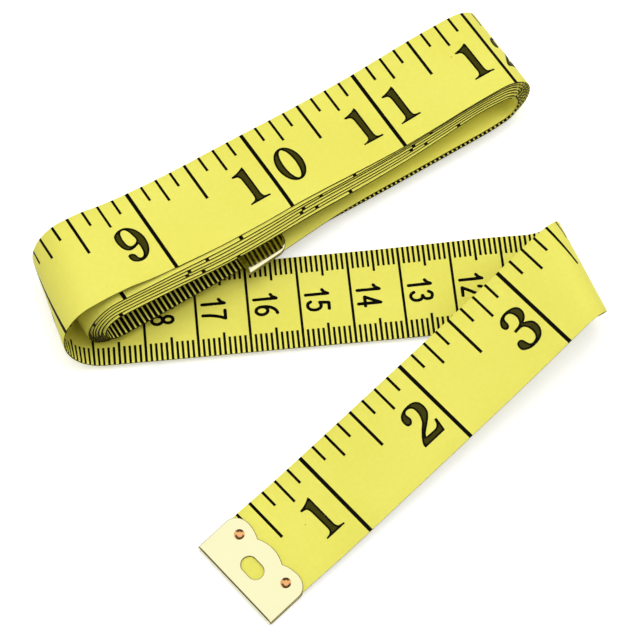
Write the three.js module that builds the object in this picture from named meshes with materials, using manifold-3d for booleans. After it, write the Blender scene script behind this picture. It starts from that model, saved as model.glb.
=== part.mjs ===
// A sewing tape measure: one long coated tape, folded and wound flat on a table, with a
// folded metal clip riveted to each end. Millimetres, +Z up, the table at z = 0.
//
// The tape is one ribbon. Distances along it start at the tip of the start clip:
//   leader  from the start clip up to the crease, face up, leaning on the crease
//   strip   over the crease, along the table and round the left bend
//   coil    from the top of the left bend, wound flat inward to the end clip
// The ribbon bends and slides but hardly stretches.
import * as THREE from 'three';
import { mergeVertices } from 'three/addons/utils/BufferGeometryUtils.js';
import Module from 'manifold-3d';

const wasm = await Module();
wasm.setup();

// The tape
const tapeWidth = 19.5;
const tapeThickness = 0.3;
const layerGap = 0.42;
const cutGap = 0.3;

// The strip on the table: its mark lies at the frame's starting point. Angles are in
// degrees.
const stripMark = 145;
const stripHeading = 185.7;

// The crease, where the strip turns up and back to become the leader
const creaseStart = 101.95;
const creaseAngle = 18.4;
const creaseRadius = 5.26;

// The left bend, where the strip turns up and back to become the coil's top layer
const bendStart = 189.9;
const bendAngle = 13;
const bendFullness = 0.685;
const cutPast = 1.3;

// The coil. Places in it count from its mark, a point of the top layer that the left
// bend would lay down; it has turned and shifted a little from there.
const coilMark = 266.7;
const coilTurn = 0.1;
const coilShift = -0.23;
const coilShiftForward = 0.3;
const coilTilt = -1.02;
const coilRoll = 7.3;
const coilLength = 87.3;
const turnInset = 2.14;
const turnCount = 7;
const fanOpening = 0.36;

// Where the coil steps down from the strip to the table, and the run of that step
const stepPlace = -10;
const stepRun = 20;

// How far each layer has slid forward, towards the front edge, at its two ends
const overSlideLeft = 0.25;
const overSlideRight = -0.08;
const underSlideRight = 0.5;
const underSlideStep = 0.38;
const slideRun = 12;

// The tail ends inside the coil. Before its clip it turns a little towards the front and
// lifts off the layer below it.
const tailReach = 27.2;
const tailSlide = 1.95;
const tailStraight = 3.3;
const tailTurnRun = 16;
const tailTurnAngle = 5.2;
const tailLiftRun = 24;

// The clips
const plateThickness = 0.25;
const seatGap = 0.2;
const clipGap = 0.44;
const clipOverhang = 0.2;
const clipSide = 7.3;
const clipLobe = 9.95;
const clipLobeSpread = 13.5;
const clipNotch = 9.15;
const clipNotchSpread = 6.8;
const clipMiddle = 10;
const slotPlace = 4.8;
const slotLength = 4.9;
const slotWidth = 3.1;
const rivetPlace = 7.3;
const rivetSpread = 12.75;
const rivetDiameter = 1;
const rivetClearance = 0.05;
const rivetHeadDiameter = 1.85;
const rivetHeadRise = 0.2;
const overrun = 1;

// Steps of the mesh, as counts
const bendSteps = 20;
const flatSteps = 4;
const turnSteps = 12;
const runSteps = 11;
const acrossSteps = 1;
const arcSteps = 6;
const domeSteps = 4;
const leanPasses = 8;
const fineSteps = 36;
const rivetSides = 16;

const up = new THREE.Vector3(0, 0, 1);
const radians = THREE.MathUtils.degToRad;
const smooth = (share) => THREE.MathUtils.smoothstep(share, 0, 1);
const mix = THREE.MathUtils.lerp;

function headingVector(degrees) {
  return new THREE.Vector3(Math.cos(radians(degrees)), Math.sin(radians(degrees)), 0);
}

// The strip and its two bends. A bend rolls the flat ribbon over a level cylinder that
// may lie askew to it, so a point only needs its distance past the line of contact.

const stripAlong = headingVector(stripHeading);
const stripAcross = headingVector(stripHeading + 90);
const creaseTravel = headingVector(stripHeading + creaseAngle - 180);
const bendTravel = headingVector(stripHeading + bendAngle);

function flatPoint(distance, across) {
  return new THREE.Vector3(0, 0, tapeThickness / 2)
    .addScaledVector(stripAlong, distance - stripMark)
    .addScaledVector(stripAcross, across);
}

function pastLine(point, start, travel) {
  return point.clone().sub(flatPoint(start, 0)).dot(travel);
}

const clipInside = tapeThickness / 2 + seatGap;
const clipOutside = clipInside + plateThickness;
const clipHalfWidth = tapeWidth / 2 + clipOverhang;

// The leader leans down from the crease until a corner of its clip rests on the table
const restingCorner = flatPoint(clipOutside, -clipHalfWidth);
const cornerPast = pastLine(restingCorner, creaseStart, creaseTravel);
let creaseLean = 0;
for (let pass = 0; pass < leanPasses; pass += 1) {
  const slope = cornerPast - creaseRadius * (Math.PI + creaseLean);
  const drop = tapeThickness / 2 + creaseRadius
    + (creaseRadius - clipOutside) * Math.cos(creaseLean);
  creaseLean = Math.asin(drop / slope);
}
const creaseWrap = Math.PI + creaseLean;

function rolledPoint(point, start, travel, radius, wrap) {
  const past = pastLine(point, start, travel);
  if (past <= 0) {
    return point;
  }
  const angle = Math.min(past / radius, wrap);
  const rest = Math.max(past - radius * wrap, 0);
  const forward = radius * Math.sin(angle) + rest * Math.cos(wrap);
  const rise = radius * (1 - Math.cos(angle)) + rest * Math.sin(wrap);
  return point.clone().addScaledVector(travel, forward - past).addScaledVector(up, rise);
}

// The heights of the coil's layers. Layer 0 is the outermost, over and under; the last
// over layer and the last but one under layer leave room between them for the end clip.
const pitch = tapeThickness + layerGap;
const tailLayer = turnCount - 1;
const clipRoom = clipOutside + rivetClearance + rivetHeadRise + tapeThickness / 2 + clipGap;
const tailLift = clipRoom - pitch;
const overStack = tailLayer * (pitch + fanOpening / 2);
const coilHeight = tapeThickness / 2 + tailLayer * pitch + 2 * clipRoom + overStack;

// The left bend lays the flat ribbon over itself, as if the bend were rolled out straight
const bendRadius = coilHeight / 2 + bendFullness;
const bendArc = Math.PI * bendRadius;
const bendEnd = bendStart + bendArc / Math.cos(radians(bendAngle));
const coilCut = bendEnd + cutPast;

function bentOver(flat) {
  return flat.clone()
    .addScaledVector(bendTravel, bendArc - 2 * pastLine(flat, bendStart, bendTravel))
    .addScaledVector(up, 2 * bendRadius);
}

// The coil, in its own directions: along its length, and across towards the front

const coilHeading = stripHeading + 2 * bendAngle - 180 + coilTurn;
const coilAlong = headingVector(coilHeading);
const coilAcross = headingVector(coilHeading - 90);
const coilOrigin = bentOver(flatPoint(coilMark, 0)).setZ(0)
  .addScaledVector(coilAlong, coilShift)
  .addScaledVector(coilAcross, coilShiftForward);
const leftTurn = bendEnd + turnInset - coilMark;
const rightTurn = leftTurn + coilLength;
const tailEnd = leftTurn + tailReach;
const tailSettled = tailEnd - clipOutside + clipMiddle + tailStraight;
const tiltSlope = Math.tan(radians(coilTilt));
const rollSlope = Math.tan(radians(coilRoll));

function coilPlace(along, across, height) {
  return coilOrigin.clone()
    .addScaledVector(coilAlong, along)
    .addScaledVector(coilAcross, across)
    .addScaledVector(up, height);
}

// The over layers fan open towards the front, and the under layers step down off the
// strip.
function overHeight(layer, along, across) {
  const fan = fanOpening * (0.5 + across / tapeWidth);
  return coilHeight + along * tiltSlope + across * rollSlope - layer * (pitch + fan);
}

function underHeight(layer, along) {
  const step = pitch * (1 - smooth((along - stepPlace) / stepRun));
  return tapeThickness / 2 + step + layer * pitch;
}

const rollWidth = Math.cos(radians(coilRoll));

function topPoint(distance, across) {
  const along = (distance - coilMark) * Math.cos(radians(coilTilt));
  const side = across * rollWidth;
  return coilPlace(along, side, overHeight(0, along, side));
}

// The whole ribbon from the start clip to the coil's first right turn
function ribbonPoint(distance, across) {
  const flat = flatPoint(distance, across);
  if (distance < stripMark) {
    return rolledPoint(flat, creaseStart, creaseTravel, creaseRadius, creaseWrap);
  }
  const rolled = rolledPoint(flat, bendStart, bendTravel, bendRadius, Math.PI);
  const settle = topPoint(distance, across).sub(bentOver(flat));
  const share = smooth(pastLine(flat, bendStart, bendTravel) / bendArc);
  return rolled.clone().addScaledVector(settle, share);
}

// Slides of the winding's layers. The tail turns by an angle, spread over a run.
const tailTurnSlope = Math.tan(radians(tailTurnAngle));

function betweenTurns(along, left, right) {
  return mix(left, right, (along - leftTurn) / (rightTurn - leftTurn));
}

function tailTurned(along) {
  return THREE.MathUtils.clamp(1 - (along - tailSettled) / tailTurnRun, 0, 1);
}

function overSlide(layer, along) {
  return betweenTurns(along, overSlideLeft * layer, overSlideRight * layer);
}

function underSlide(layer, along) {
  if (layer === tailLayer) {
    const turned = tailTurned(along);
    const straight = Math.max(tailSettled - along, 0);
    return tailSlide + tailTurnSlope * (tailTurnRun * turned * turned / 2 + straight);
  }
  const right = underSlideRight + underSlideStep * layer;
  return betweenTurns(along, overSlideLeft * (layer + 1), right);
}

// A turn joins an over layer to an under layer by half a round. The slide of the one
// becomes the slide of the other over the turn and a short run on each side of it.
function turnShape(side, end, overLayer, underLayer) {
  const radius = (overHeight(overLayer, end, 0) - underHeight(underLayer, end)) / 2;
  return { side, end, overLayer, underLayer, radius, arc: Math.PI * radius };
}

const layers = Array.from({ length: turnCount }, (_, layer) => layer);
const rightTurns = layers.map((layer) => turnShape(1, rightTurn, layer, layer));
const leftTurns = layers.map((layer) => turnShape(-1, leftTurn, layer + 1, layer));

// The distance is counted from where the over layer starts to change
function turnSlide(turn, distance) {
  const inner = turn.end - turn.side * slideRun;
  const over = overSlide(turn.overLayer, inner);
  const under = underSlide(turn.underLayer, inner);
  return mix(over, under, smooth(distance / (2 * slideRun + turn.arc)));
}

const nearTurn = (turn, along) => turn && (turn.end - along) * turn.side < slideRun;

function overSlideAt(layer, along) {
  const turn = [rightTurns[layer], leftTurns[layer - 1]].find((each) => nearTurn(each, along));
  return turn
    ? turnSlide(turn, slideRun - (turn.end - along) * turn.side)
    : overSlide(layer, along);
}

function underSlideAt(layer, along) {
  const left = layer === tailLayer ? null : leftTurns[layer];
  const turn = [rightTurns[layer], left].find((each) => nearTurn(each, along));
  return turn
    ? turnSlide(turn, slideRun + turn.arc + (turn.end - along) * turn.side)
    : underSlide(layer, along);
}

function overPoint(layer, along, across) {
  const side = across * rollWidth + overSlideAt(layer, along);
  return coilPlace(along, side, overHeight(layer, along, side));
}

function underPoint(layer, along, across) {
  const side = across * rollWidth;
  const slide = underSlideAt(layer, along);
  const height = underHeight(layer, along);
  if (layer < tailLayer) {
    return coilPlace(along, side + slide, height);
  }
  const square = tailTurnSlope * tailTurned(along) * side;
  const lift = tailLift * smooth(1 - (along - tailSettled) / tailLiftRun);
  return coilPlace(along + square, side + slide, height + lift);
}

// The share runs from 0 at the over layer to 1 at the under layer
function turnPoint(turn, share, across) {
  const side = across * rollWidth + turnSlide(turn, slideRun + share * turn.arc);
  const over = overHeight(turn.overLayer, turn.end, side);
  const under = underHeight(turn.underLayer, turn.end);
  const along = turn.end + turn.side * turn.radius * Math.sin(Math.PI * share);
  return coilPlace(along, side, mix(over, under, (1 - Math.cos(Math.PI * share)) / 2));
}

// The winding after the top layer, leg by leg. Each leg is a function of its share.
function windingLegs() {
  const overRun = (layer) => (share, across) =>
    overPoint(layer, mix(leftTurn, rightTurn, share), across);
  const underRun = (layer, end) => (share, across) =>
    underPoint(layer, mix(rightTurn, end, share), across);
  return layers.flatMap((layer) => {
    const isTail = layer === tailLayer;
    const inward = [
      { steps: turnSteps, at: (share, y) => turnPoint(rightTurns[layer], share, y) },
      { steps: runSteps, at: underRun(layer, isTail ? tailEnd : leftTurn) },
    ];
    const back = [
      { steps: turnSteps, at: (share, y) => turnPoint(leftTurns[layer], 1 - share, y) },
      { steps: runSteps, at: overRun(layer + 1) },
    ];
    return isTail ? inward : [...inward, ...back];
  });
}

// Rows of points across the ribbon, and the closed ribbon solid made from them

const acrossPlaces = Array.from({ length: acrossSteps + 1 },
  (_, column) => tapeWidth * (column / acrossSteps - 0.5));

const rowOf = (pointAt) => acrossPlaces.map(pointAt);

function windingRows() {
  const rows = [];
  for (const leg of windingLegs()) {
    for (let step = 1; step <= leg.steps; step += 1) {
      rows.push(rowOf((across) => leg.at(step / leg.steps, across)));
    }
  }
  return rows;
}

function ribbonRows(distances, skew) {
  return distances.map((distance, index) =>
    rowOf((across) => ribbonPoint(distance + across * skew(index), across)));
}

// Triangles between two rings of the solid: rings run round the ribbon's section
function ribbonSolid(rows) {
  const positions = [];
  const rings = [];
  rows.forEach((row, index) => {
    const before = rows[Math.max(index - 1, 0)];
    const after = rows[Math.min(index + 1, rows.length - 1)];
    const last = row.length - 1;
    const face = row.map((point, column) => {
      const along = after[column].clone().sub(before[column]);
      const across = row[Math.min(column + 1, last)].clone().sub(row[Math.max(column - 1, 0)]);
      return across.cross(along).setLength(tapeThickness / 2);
    });
    const top = row.map((point, column) => point.clone().add(face[column]));
    const bottom = row.map((point, column) => point.clone().sub(face[column]));
    const ring = [...top, ...bottom.reverse()];
    rings.push(ring.map((point) => positions.push(point.x, point.y, point.z) / 3 - 1));
  });
  const indices = [];
  const quad = (a, b, c, d) => indices.push(a, b, c, a, c, d);
  const count = rings[0].length;
  for (let row = 0; row + 1 < rings.length; row += 1) {
    for (let spot = 0; spot < count; spot += 1) {
      const next = (spot + 1) % count;
      quad(rings[row][spot], rings[row][next], rings[row + 1][next], rings[row + 1][spot]);
    }
  }
  const first = rings[0];
  const final = rings[rings.length - 1];
  for (let spot = 0; spot < acrossSteps; spot += 1) {
    const under = count - 1 - spot;
    quad(first[under], first[under - 1], first[spot + 1], first[spot]);
    quad(final[spot], final[spot + 1], final[under - 1], final[under]);
  }
  const geometry = new THREE.BufferGeometry();
  geometry.setAttribute('position', new THREE.Float32BufferAttribute(positions, 3));
  geometry.setIndex(indices);
  return geometry;
}

function spread(from, to, steps) {
  return Array.from({ length: steps + 1 }, (_, step) => mix(from, to, step / steps));
}

// The lines across the ribbon where it is parted: one along the crease's own line, one
// square to the tape
const creaseSkew = stripAcross.dot(creaseTravel) / -stripAlong.dot(creaseTravel);
const bendSkew = -stripAcross.dot(bendTravel) / stripAlong.dot(bendTravel);
const creaseRun = creaseRadius * creaseWrap / -stripAlong.dot(creaseTravel);
const leaderCut = creaseStart - creaseRun;

function leaderGeometry() {
  const ends = [clipOutside, leaderCut - cutGap / 2];
  return ribbonSolid(ribbonRows(ends, (index) => index * creaseSkew));
}

function stripGeometry() {
  const crease = spread(leaderCut + cutGap / 2, creaseStart, bendSteps);
  const flat = spread(creaseStart, bendStart, flatSteps).slice(1);
  const bend = spread(bendStart, coilCut - cutGap / 2, bendSteps).slice(1);
  const skew = (index) => {
    if (index < crease.length) {
      return creaseSkew;
    }
    const bendIndex = index - crease.length - flat.length;
    if (bendIndex >= 0) {
      return bendSkew * (1 - smooth((bendIndex + 1) / bend.length));
    }
    return mix(creaseSkew, bendSkew, (index - crease.length + 1) / flat.length);
  };
  return ribbonSolid(ribbonRows([...crease, ...flat, ...bend], skew));
}

const topRunEnd = coilMark + (rightTurn - slideRun) / Math.cos(radians(coilTilt));

function coilGeometry() {
  const top = spread(coilCut + cutGap / 2, topRunEnd, runSteps);
  const ease = spread(rightTurn - slideRun, rightTurn, flatSteps).slice(1)
    .map((along) => rowOf((across) => overPoint(0, along, across)));
  return ribbonSolid([...ribbonRows(top, () => 0), ...ease, ...windingRows()]);
}

// Joining and cutting

function solidOf(geometry) {
  const bare = geometry.clone();
  bare.deleteAttribute('normal');
  bare.deleteAttribute('uv');
  const merged = mergeVertices(bare, tapeThickness / 1000);
  return new wasm.Manifold(new wasm.Mesh({
    numProp: 3,
    vertProperties: new Float32Array(merged.attributes.position.array),
    triVerts: new Uint32Array(merged.index.array),
  }));
}

function geometryOf(solid) {
  const mesh = solid.getMesh();
  const geometry = new THREE.BufferGeometry();
  geometry.setAttribute('position', new THREE.Float32BufferAttribute(mesh.vertProperties, 3));
  geometry.setIndex(Array.from(mesh.triVerts));
  return geometry;
}

// A clip, in its own directions: x from its tip along the tape, z off the face

// Seen from above: straight sides, then three lobes with a notch between each two
function clipOutline() {
  const shape = new THREE.Shape();
  const lobeSide = clipLobeSpread / 2;
  const notchSide = clipNotchSpread / 2;
  const roundShare = 0.55;
  const cornerLong = mix(clipSide, clipLobe, roundShare);
  const cornerWide = mix(lobeSide, clipHalfWidth, roundShare);
  const innerWide = mix(lobeSide, notchSide, roundShare);
  const bulge = 2 * clipMiddle - clipNotch;
  shape.moveTo(0, -clipHalfWidth);
  shape.lineTo(clipSide, -clipHalfWidth);
  shape.bezierCurveTo(cornerLong, -clipHalfWidth, clipLobe, -cornerWide, clipLobe, -lobeSide);
  shape.quadraticCurveTo(clipLobe, -innerWide, clipNotch, -notchSide);
  shape.quadraticCurveTo(bulge, 0, clipNotch, notchSide);
  shape.quadraticCurveTo(clipLobe, innerWide, clipLobe, lobeSide);
  shape.bezierCurveTo(clipLobe, cornerWide, cornerLong, clipHalfWidth, clipSide, clipHalfWidth);
  shape.lineTo(0, clipHalfWidth);
  return shape;
}

// Seen from the side: one plate folded round the end of the tape
function clipFold() {
  const shape = new THREE.Shape();
  const reach = clipMiddle + overrun;
  shape.moveTo(reach, clipOutside);
  shape.lineTo(clipOutside, clipOutside);
  shape.absarc(clipOutside, 0, clipOutside, Math.PI / 2, -Math.PI / 2 + 2 * Math.PI, false);
  shape.lineTo(reach, -clipOutside);
  shape.lineTo(reach, -clipInside);
  shape.lineTo(clipOutside, -clipInside);
  shape.absarc(clipOutside, 0, clipInside, 3 * Math.PI / 2, Math.PI / 2, true);
  shape.lineTo(reach, clipInside);
  return shape;
}

function slotOutline() {
  const shape = new THREE.Shape();
  const round = slotWidth / 2;
  const reach = slotLength / 2 - round;
  shape.absarc(slotPlace, reach, round, 0, Math.PI, false);
  shape.absarc(slotPlace, -reach, round, Math.PI, 2 * Math.PI, false);
  return shape;
}

function tallSolid(shape) {
  const height = 2 * (clipOutside + overrun);
  const geometry = new THREE.ExtrudeGeometry(shape, {
    depth: height,
    bevelEnabled: false,
    curveSegments: arcSteps,
  });
  return solidOf(geometry.translate(0, 0, -height / 2));
}

const rivetPlaces = [-rivetSpread / 2, rivetSpread / 2];

function rivetHoleAt(across) {
  const height = 2 * (clipOutside + overrun);
  const radius = rivetDiameter / 2 + seatGap;
  const geometry = new THREE.CylinderGeometry(radius, radius, height, rivetSides);
  return solidOf(geometry.rotateX(Math.PI / 2).translate(rivetPlace, across, 0));
}

function clipGeometry(hasSlot) {
  const width = 2 * (clipHalfWidth + overrun);
  const fold = new THREE.ExtrudeGeometry(clipFold(), {
    depth: width,
    bevelEnabled: false,
    curveSegments: arcSteps,
  });
  let solid = solidOf(fold.rotateX(Math.PI / 2).translate(0, width / 2, 0));
  solid = solid.intersect(tallSolid(clipOutline()));
  if (hasSlot) {
    solid = solid.subtract(tallSolid(slotOutline()));
  }
  for (const across of rivetPlaces) {
    solid = solid.subtract(rivetHoleAt(across));
  }
  return geometryOf(solid);
}

// A rivet: a shank through both plates and the tape, with a low round head at each end
function rivetGeometry() {
  const shank = rivetDiameter / 2;
  const head = rivetHeadDiameter / 2;
  const seat = clipOutside + rivetClearance;
  const dome = [];
  for (let step = 0; step <= domeSteps; step += 1) {
    const angle = Math.PI / 2 * (step / domeSteps);
    dome.push([head * Math.cos(angle), seat + rivetHeadRise * Math.sin(angle)]);
  }
  const upper = [[shank, seat], ...dome].map(([x, z]) => new THREE.Vector2(x, z));
  const lower = upper.map((point) => new THREE.Vector2(point.x, -point.y)).reverse();
  const profile = [...lower, ...upper];
  profile[0].x = 0;
  profile[profile.length - 1].x = 0;
  return new THREE.LatheGeometry(profile, rivetSides).rotateX(Math.PI / 2);
}

// Where a clip sits: its tip, the direction along the tape from it, and the face's side
function clipFrame(tip, inward, across) {
  const along = inward.clone().sub(tip).normalize();
  const face = across.clone().sub(tip).cross(along).normalize();
  const side = face.clone().cross(along);
  return new THREE.Matrix4().makeBasis(along, side, face).setPosition(tip);
}

const startFrame = clipFrame(
  ribbonPoint(0, 0),
  ribbonPoint(clipMiddle, 0),
  ribbonPoint(0, tapeWidth / 2),
);
const endTip = tailEnd - clipOutside;
const endFrame = clipFrame(
  underPoint(tailLayer, endTip, 0),
  underPoint(tailLayer, endTip + clipMiddle, 0),
  underPoint(tailLayer, endTip, tapeWidth / 2),
);

// The tape is pierced for the rivets of its own clip
function piercedBy(geometry, frame) {
  let solid = solidOf(geometry);
  for (const across of rivetPlaces) {
    solid = solid.subtract(solidOf(geometryOf(rivetHoleAt(across)).applyMatrix4(frame)));
  }
  return geometryOf(solid);
}

// The least gap between turns of the ribbon, and the tape's length, measured on a fine
// net of points

function fineNet() {
  const topRows = spread(0, topRunEnd, fineSteps * turnCount)
    .map((distance) => (across) => ribbonPoint(distance, across));
  const easeRows = spread(rightTurn - slideRun, rightTurn, fineSteps / 2)
    .map((along) => (across) => overPoint(0, along, across));
  const woundRows = windingLegs().flatMap((leg) => spread(0, 1, fineSteps)
    .map((share) => (across) => leg.at(share, across)));
  const shares = spread(-0.5, 0.5, 4);
  let distance = 0;
  let before = null;
  return [...topRows, ...easeRows, ...woundRows].map((pointAt) => {
    const middle = pointAt(0);
    distance += before ? middle.distanceTo(before) : 0;
    before = middle;
    return { distance, points: shares.map((share) => pointAt(share * tapeWidth)) };
  });
}

function leastDistance(net, apart) {
  let least = Infinity;
  net.forEach((row, index) => {
    for (const other of net.slice(index + 1)) {
      if (other.distance - row.distance > apart) {
        row.points.forEach((point) => other.points.forEach((each) => {
          least = Math.min(least, point.distanceToSquared(each));
        }));
      }
    }
  });
  return Math.sqrt(least);
}

const net = fineNet();
const tapeLength = net[net.length - 1].distance;
const innermostArc = rightTurns[tailLayer].arc;
const leastGap = leastDistance(net, innermostArc) - tapeThickness;
console.log(`tape: ${tapeLength.toFixed(1)} mm long, least gap to itself ${leastGap.toFixed(3)} mm`);

// Materials and the assembly

const coatedTape = { color: 0xf2ec71, roughness: 0.5, metalness: 0 };
const gildedPlate = { color: 0xf3eab2, roughness: 0.25, metalness: 1 };
const copperRivet = { color: 0xb8703c, roughness: 0.3, metalness: 1 };

const tapeMeasure = new THREE.Group();

function addPiece(name, geometry, look) {
  const mesh = new THREE.Mesh(geometry, new THREE.MeshStandardMaterial(look));
  mesh.name = name;
  tapeMeasure.add(mesh);
  return mesh;
}

function addClip(prefix, frame, hasSlot) {
  const clip = addPiece(`${prefix}_clip`, clipGeometry(hasSlot), gildedPlate);
  clip.applyMatrix4(frame);
  rivetPlaces.forEach((across, index) => {
    const name = `${prefix}_clip_rivet_${index + 1}`;
    const rivet = addPiece(name, rivetGeometry(), copperRivet);
    rivet.position.set(rivetPlace, across, 0);
    rivet.updateMatrix();
    rivet.applyMatrix4(frame);
  });
}

addPiece('tape_leader', piercedBy(leaderGeometry(), startFrame), coatedTape);
addPiece('tape_strip', stripGeometry(), coatedTape);
addPiece('tape_coil', piercedBy(coilGeometry(), endFrame), coatedTape);
addClip('start', startFrame, true);
addClip('end', endFrame, false);

// The frame's origin goes to the middle of the foot of the whole
tapeMeasure.updateMatrixWorld(true);
const reach = new THREE.Box3().setFromObject(tapeMeasure, true);
const centre = reach.getCenter(new THREE.Vector3());
tapeMeasure.position.set(-centre.x, -centre.y, -reach.min.z);

export default tapeMeasure;
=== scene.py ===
# %% [markdown]
# # A sewing tape measure, folded and wound flat
# This lesson dresses a small tape measure in Blender. The tape is one coated ribbon with
# inches on one face and centimetres on the other. One end runs out as a leader, a crease
# turns it into a strip that lies on the table, and a wide bend at the left lays the rest
# over itself in a flat winding. A folded metal clip closes each end.
#
# The solids of the part come ready made, in one shared frame. The scene loads them first,
# keeps the box that they fill, and never moves them. Lengths in this lesson are in
# millimetres and become metres only when a mesh is made.

# %% Load the solids
import math

import bmesh
import bpy
import numpy as np
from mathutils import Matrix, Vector
from mathutils.geometry import delaunay_2d_cdt


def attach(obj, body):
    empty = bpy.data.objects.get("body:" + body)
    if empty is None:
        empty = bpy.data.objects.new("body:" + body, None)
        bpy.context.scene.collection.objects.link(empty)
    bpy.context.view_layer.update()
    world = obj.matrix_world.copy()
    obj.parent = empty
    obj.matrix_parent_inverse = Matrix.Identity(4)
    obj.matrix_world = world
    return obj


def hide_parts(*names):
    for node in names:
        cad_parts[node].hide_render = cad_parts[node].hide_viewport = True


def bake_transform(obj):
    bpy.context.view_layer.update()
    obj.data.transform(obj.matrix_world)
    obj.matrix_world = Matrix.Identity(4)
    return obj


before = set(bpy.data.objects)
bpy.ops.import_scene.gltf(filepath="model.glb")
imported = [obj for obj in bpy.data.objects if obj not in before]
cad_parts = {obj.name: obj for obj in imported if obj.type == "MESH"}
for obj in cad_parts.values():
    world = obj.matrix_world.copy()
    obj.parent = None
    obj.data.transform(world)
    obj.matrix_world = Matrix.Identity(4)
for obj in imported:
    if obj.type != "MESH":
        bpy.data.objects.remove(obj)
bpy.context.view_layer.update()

MM = 0.001

# %% [markdown]
# ## The tape's path
# A ribbon like this bends and slides, but it hardly stretches. So its shape can be written
# as a rule: give a distance along the tape and a place across it, and the rule gives the
# point in space. It could be drawn as a curve with a flat bevel instead, but a curve twists
# its profile at the two askew folds, and the printed scale would drift. With a rule, the
# same distance that places the ribbon also places every printed line.
#
# The rule needs a few small tools first: directions, and smooth changes from one value to
# the next.

# %% Directions and smooth curves
UP = np.array([0.0, 0.0, 1.0])


def heading(degrees):
    """The level direction that lies so many degrees round from the right."""
    turn = math.radians(degrees)
    return np.array([math.cos(turn), math.sin(turn), 0.0])


def smooth(share):
    """0 up to 0, 1 from 1 on, and a soft change between them."""
    share = np.clip(share, 0.0, 1.0)
    return share * share * (3.0 - 2.0 * share)


def mix(low, high, share):
    return low + (high - low) * share


def curve(place, knots):
    """A smooth curve through (place, value) knots, level beyond both ends."""
    x, y = np.array(knots, dtype=float).T
    slope = np.gradient(y, x)
    slope[[0, -1]] = 0.0
    place = np.clip(place, x[0], x[-1])
    k = np.clip(np.searchsorted(x, place) - 1, 0, len(x) - 2)
    span = x[k + 1] - x[k]
    t = (place - x[k]) / span
    return ((1 + 2 * t) * (1 - t) ** 2 * y[k] + t * (1 - t) ** 2 * span * slope[k]
            + t * t * (3 - 2 * t) * y[k + 1] - t * t * (1 - t) * span * slope[k + 1])


print("half way through a smooth change:", float(smooth(0.5)))

# %% [markdown]
# The strip on the table is the start. A bend is the flat strip rolled over a level
# cylinder that may lie askew to it. A distance along the tape says where each bend starts,
# and an angle says how askew it lies.

# %% The flat strip and how it rolls
WIDTH = 19.5
SHEET_THICKNESS = 0.42
CORE_HEIGHT = 0.15
STRIP_MARK, STRIP_HEADING = 145.0, 185.7
CREASE_START, CREASE_ANGLE, CREASE_RADIUS, CREASE_LEAN = 101.95, 18.4, 5.26, 7.011
BEND_START, BEND_ANGLE, BEND_RADIUS = 189.9, 13.0, 7.06
# From the rule's own origin to the origin of the shared frame
FRAME_SHIFT = np.array([1.182, 3.305, 0.0])

strip_along, strip_across = heading(STRIP_HEADING), heading(STRIP_HEADING + 90)
crease_travel = heading(STRIP_HEADING + CREASE_ANGLE - 180)
bend_travel = heading(STRIP_HEADING + BEND_ANGLE)


def on_table(distance, across):
    """Points of the strip as if all of the tape lay flat, so far along it and across it."""
    points = np.outer(across, strip_across) + strip_along * (distance - STRIP_MARK)
    return points + UP * CORE_HEIGHT


def past_line(points, start, travel):
    """How far points lie past the line at which a bend starts."""
    return (points - on_table(start, [0.0])[0]) @ travel


def rolled(points, start, travel, radius, wrap):
    """Flat points wound over a level cylinder, and straight again after the angle wrap."""
    past = past_line(points, start, travel)
    angle = np.clip(past / radius, 0.0, wrap)
    rest = np.maximum(past - radius * wrap, 0.0)
    forward = radius * np.sin(angle) + rest * math.cos(wrap)
    rise = radius * (1 - np.cos(angle)) + rest * math.sin(wrap)
    shift = np.where(past > 0, forward - past, 0.0)
    return points + np.outer(shift, travel) + np.outer(np.where(past > 0, rise, 0.0), UP)


print("strip heading", STRIP_HEADING, "degrees, crease radius", CREASE_RADIUS, "mm")

# %% [markdown]
# A real ribbon isn't perfectly flat. These tables say how far the strip and the leader
# stray from their planes, by distance along the tape, and how far the left bend's front
# edge tucks in, half way round.

# %% How the strip and the leader stray
FRONT_RISE = [(104, 0.0), (113, 0.5), (130, 1.0), (150, 1.3), (170, 1.45), (190, 1.5)]
STRIP_SHIFT = [(104, 0.0), (113, -0.12), (120, 0.0), (130, 0.2), (150, 0.3), (170, 0.4),
               (185, 0.38)]
STRIP_SLIP = [(120, 0.0), (140, 0.07), (158, 0.14), (172, 0.13), (185, 0.06), (195, 0.0)]
BEND_TUCK = 0.55
LEADER_LIFT = [(9, 0.0), (19, -0.85), (25, -0.9), (38, -0.72), (51, -0.45), (63.5, 0.0),
               (70, 0.5), (76, 1.15), (83, 1.85), (90, 2.0)]


def strip_stray(distance, across):
    rise = curve(distance, FRONT_RISE) * (across / WIDTH + 0.5)
    aside = (strip_across * curve(distance, STRIP_SHIFT)
             - strip_along * curve(distance, STRIP_SLIP))
    return aside + np.outer(rise, UP)


print("the strip's front edge rises by up to", max(rise for _, rise in FRONT_RISE), "mm")

# %% [markdown]
# The left bend lays the ribbon over itself as the winding's top layer. The winding has its
# own directions: along its length, and across towards the front. Its over layers fan open
# towards the front edge, its under layers lie flat, and each has slid a little sideways.
# What shows of this was measured on the photograph, and what the rounds do inside is chosen.

# %% The winding's measures
COIL_MARK, COIL_TURN, COIL_SHIFT, COIL_FORWARD = 266.7, 0.1, -0.23, 0.3
TILT_ANGLE, ROLL_ANGLE = math.radians(-1.02), math.radians(7.3)
COIL_HEIGHT, TURN_COUNT, TAIL_LAYER = 12.75, 7, 6
OVER_PITCH, OVER_FAN, UNDER_PITCH = 0.45, 0.07, 0.72
STEP_PLACE, STEP_RUN = -10.0, 20.0
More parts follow.
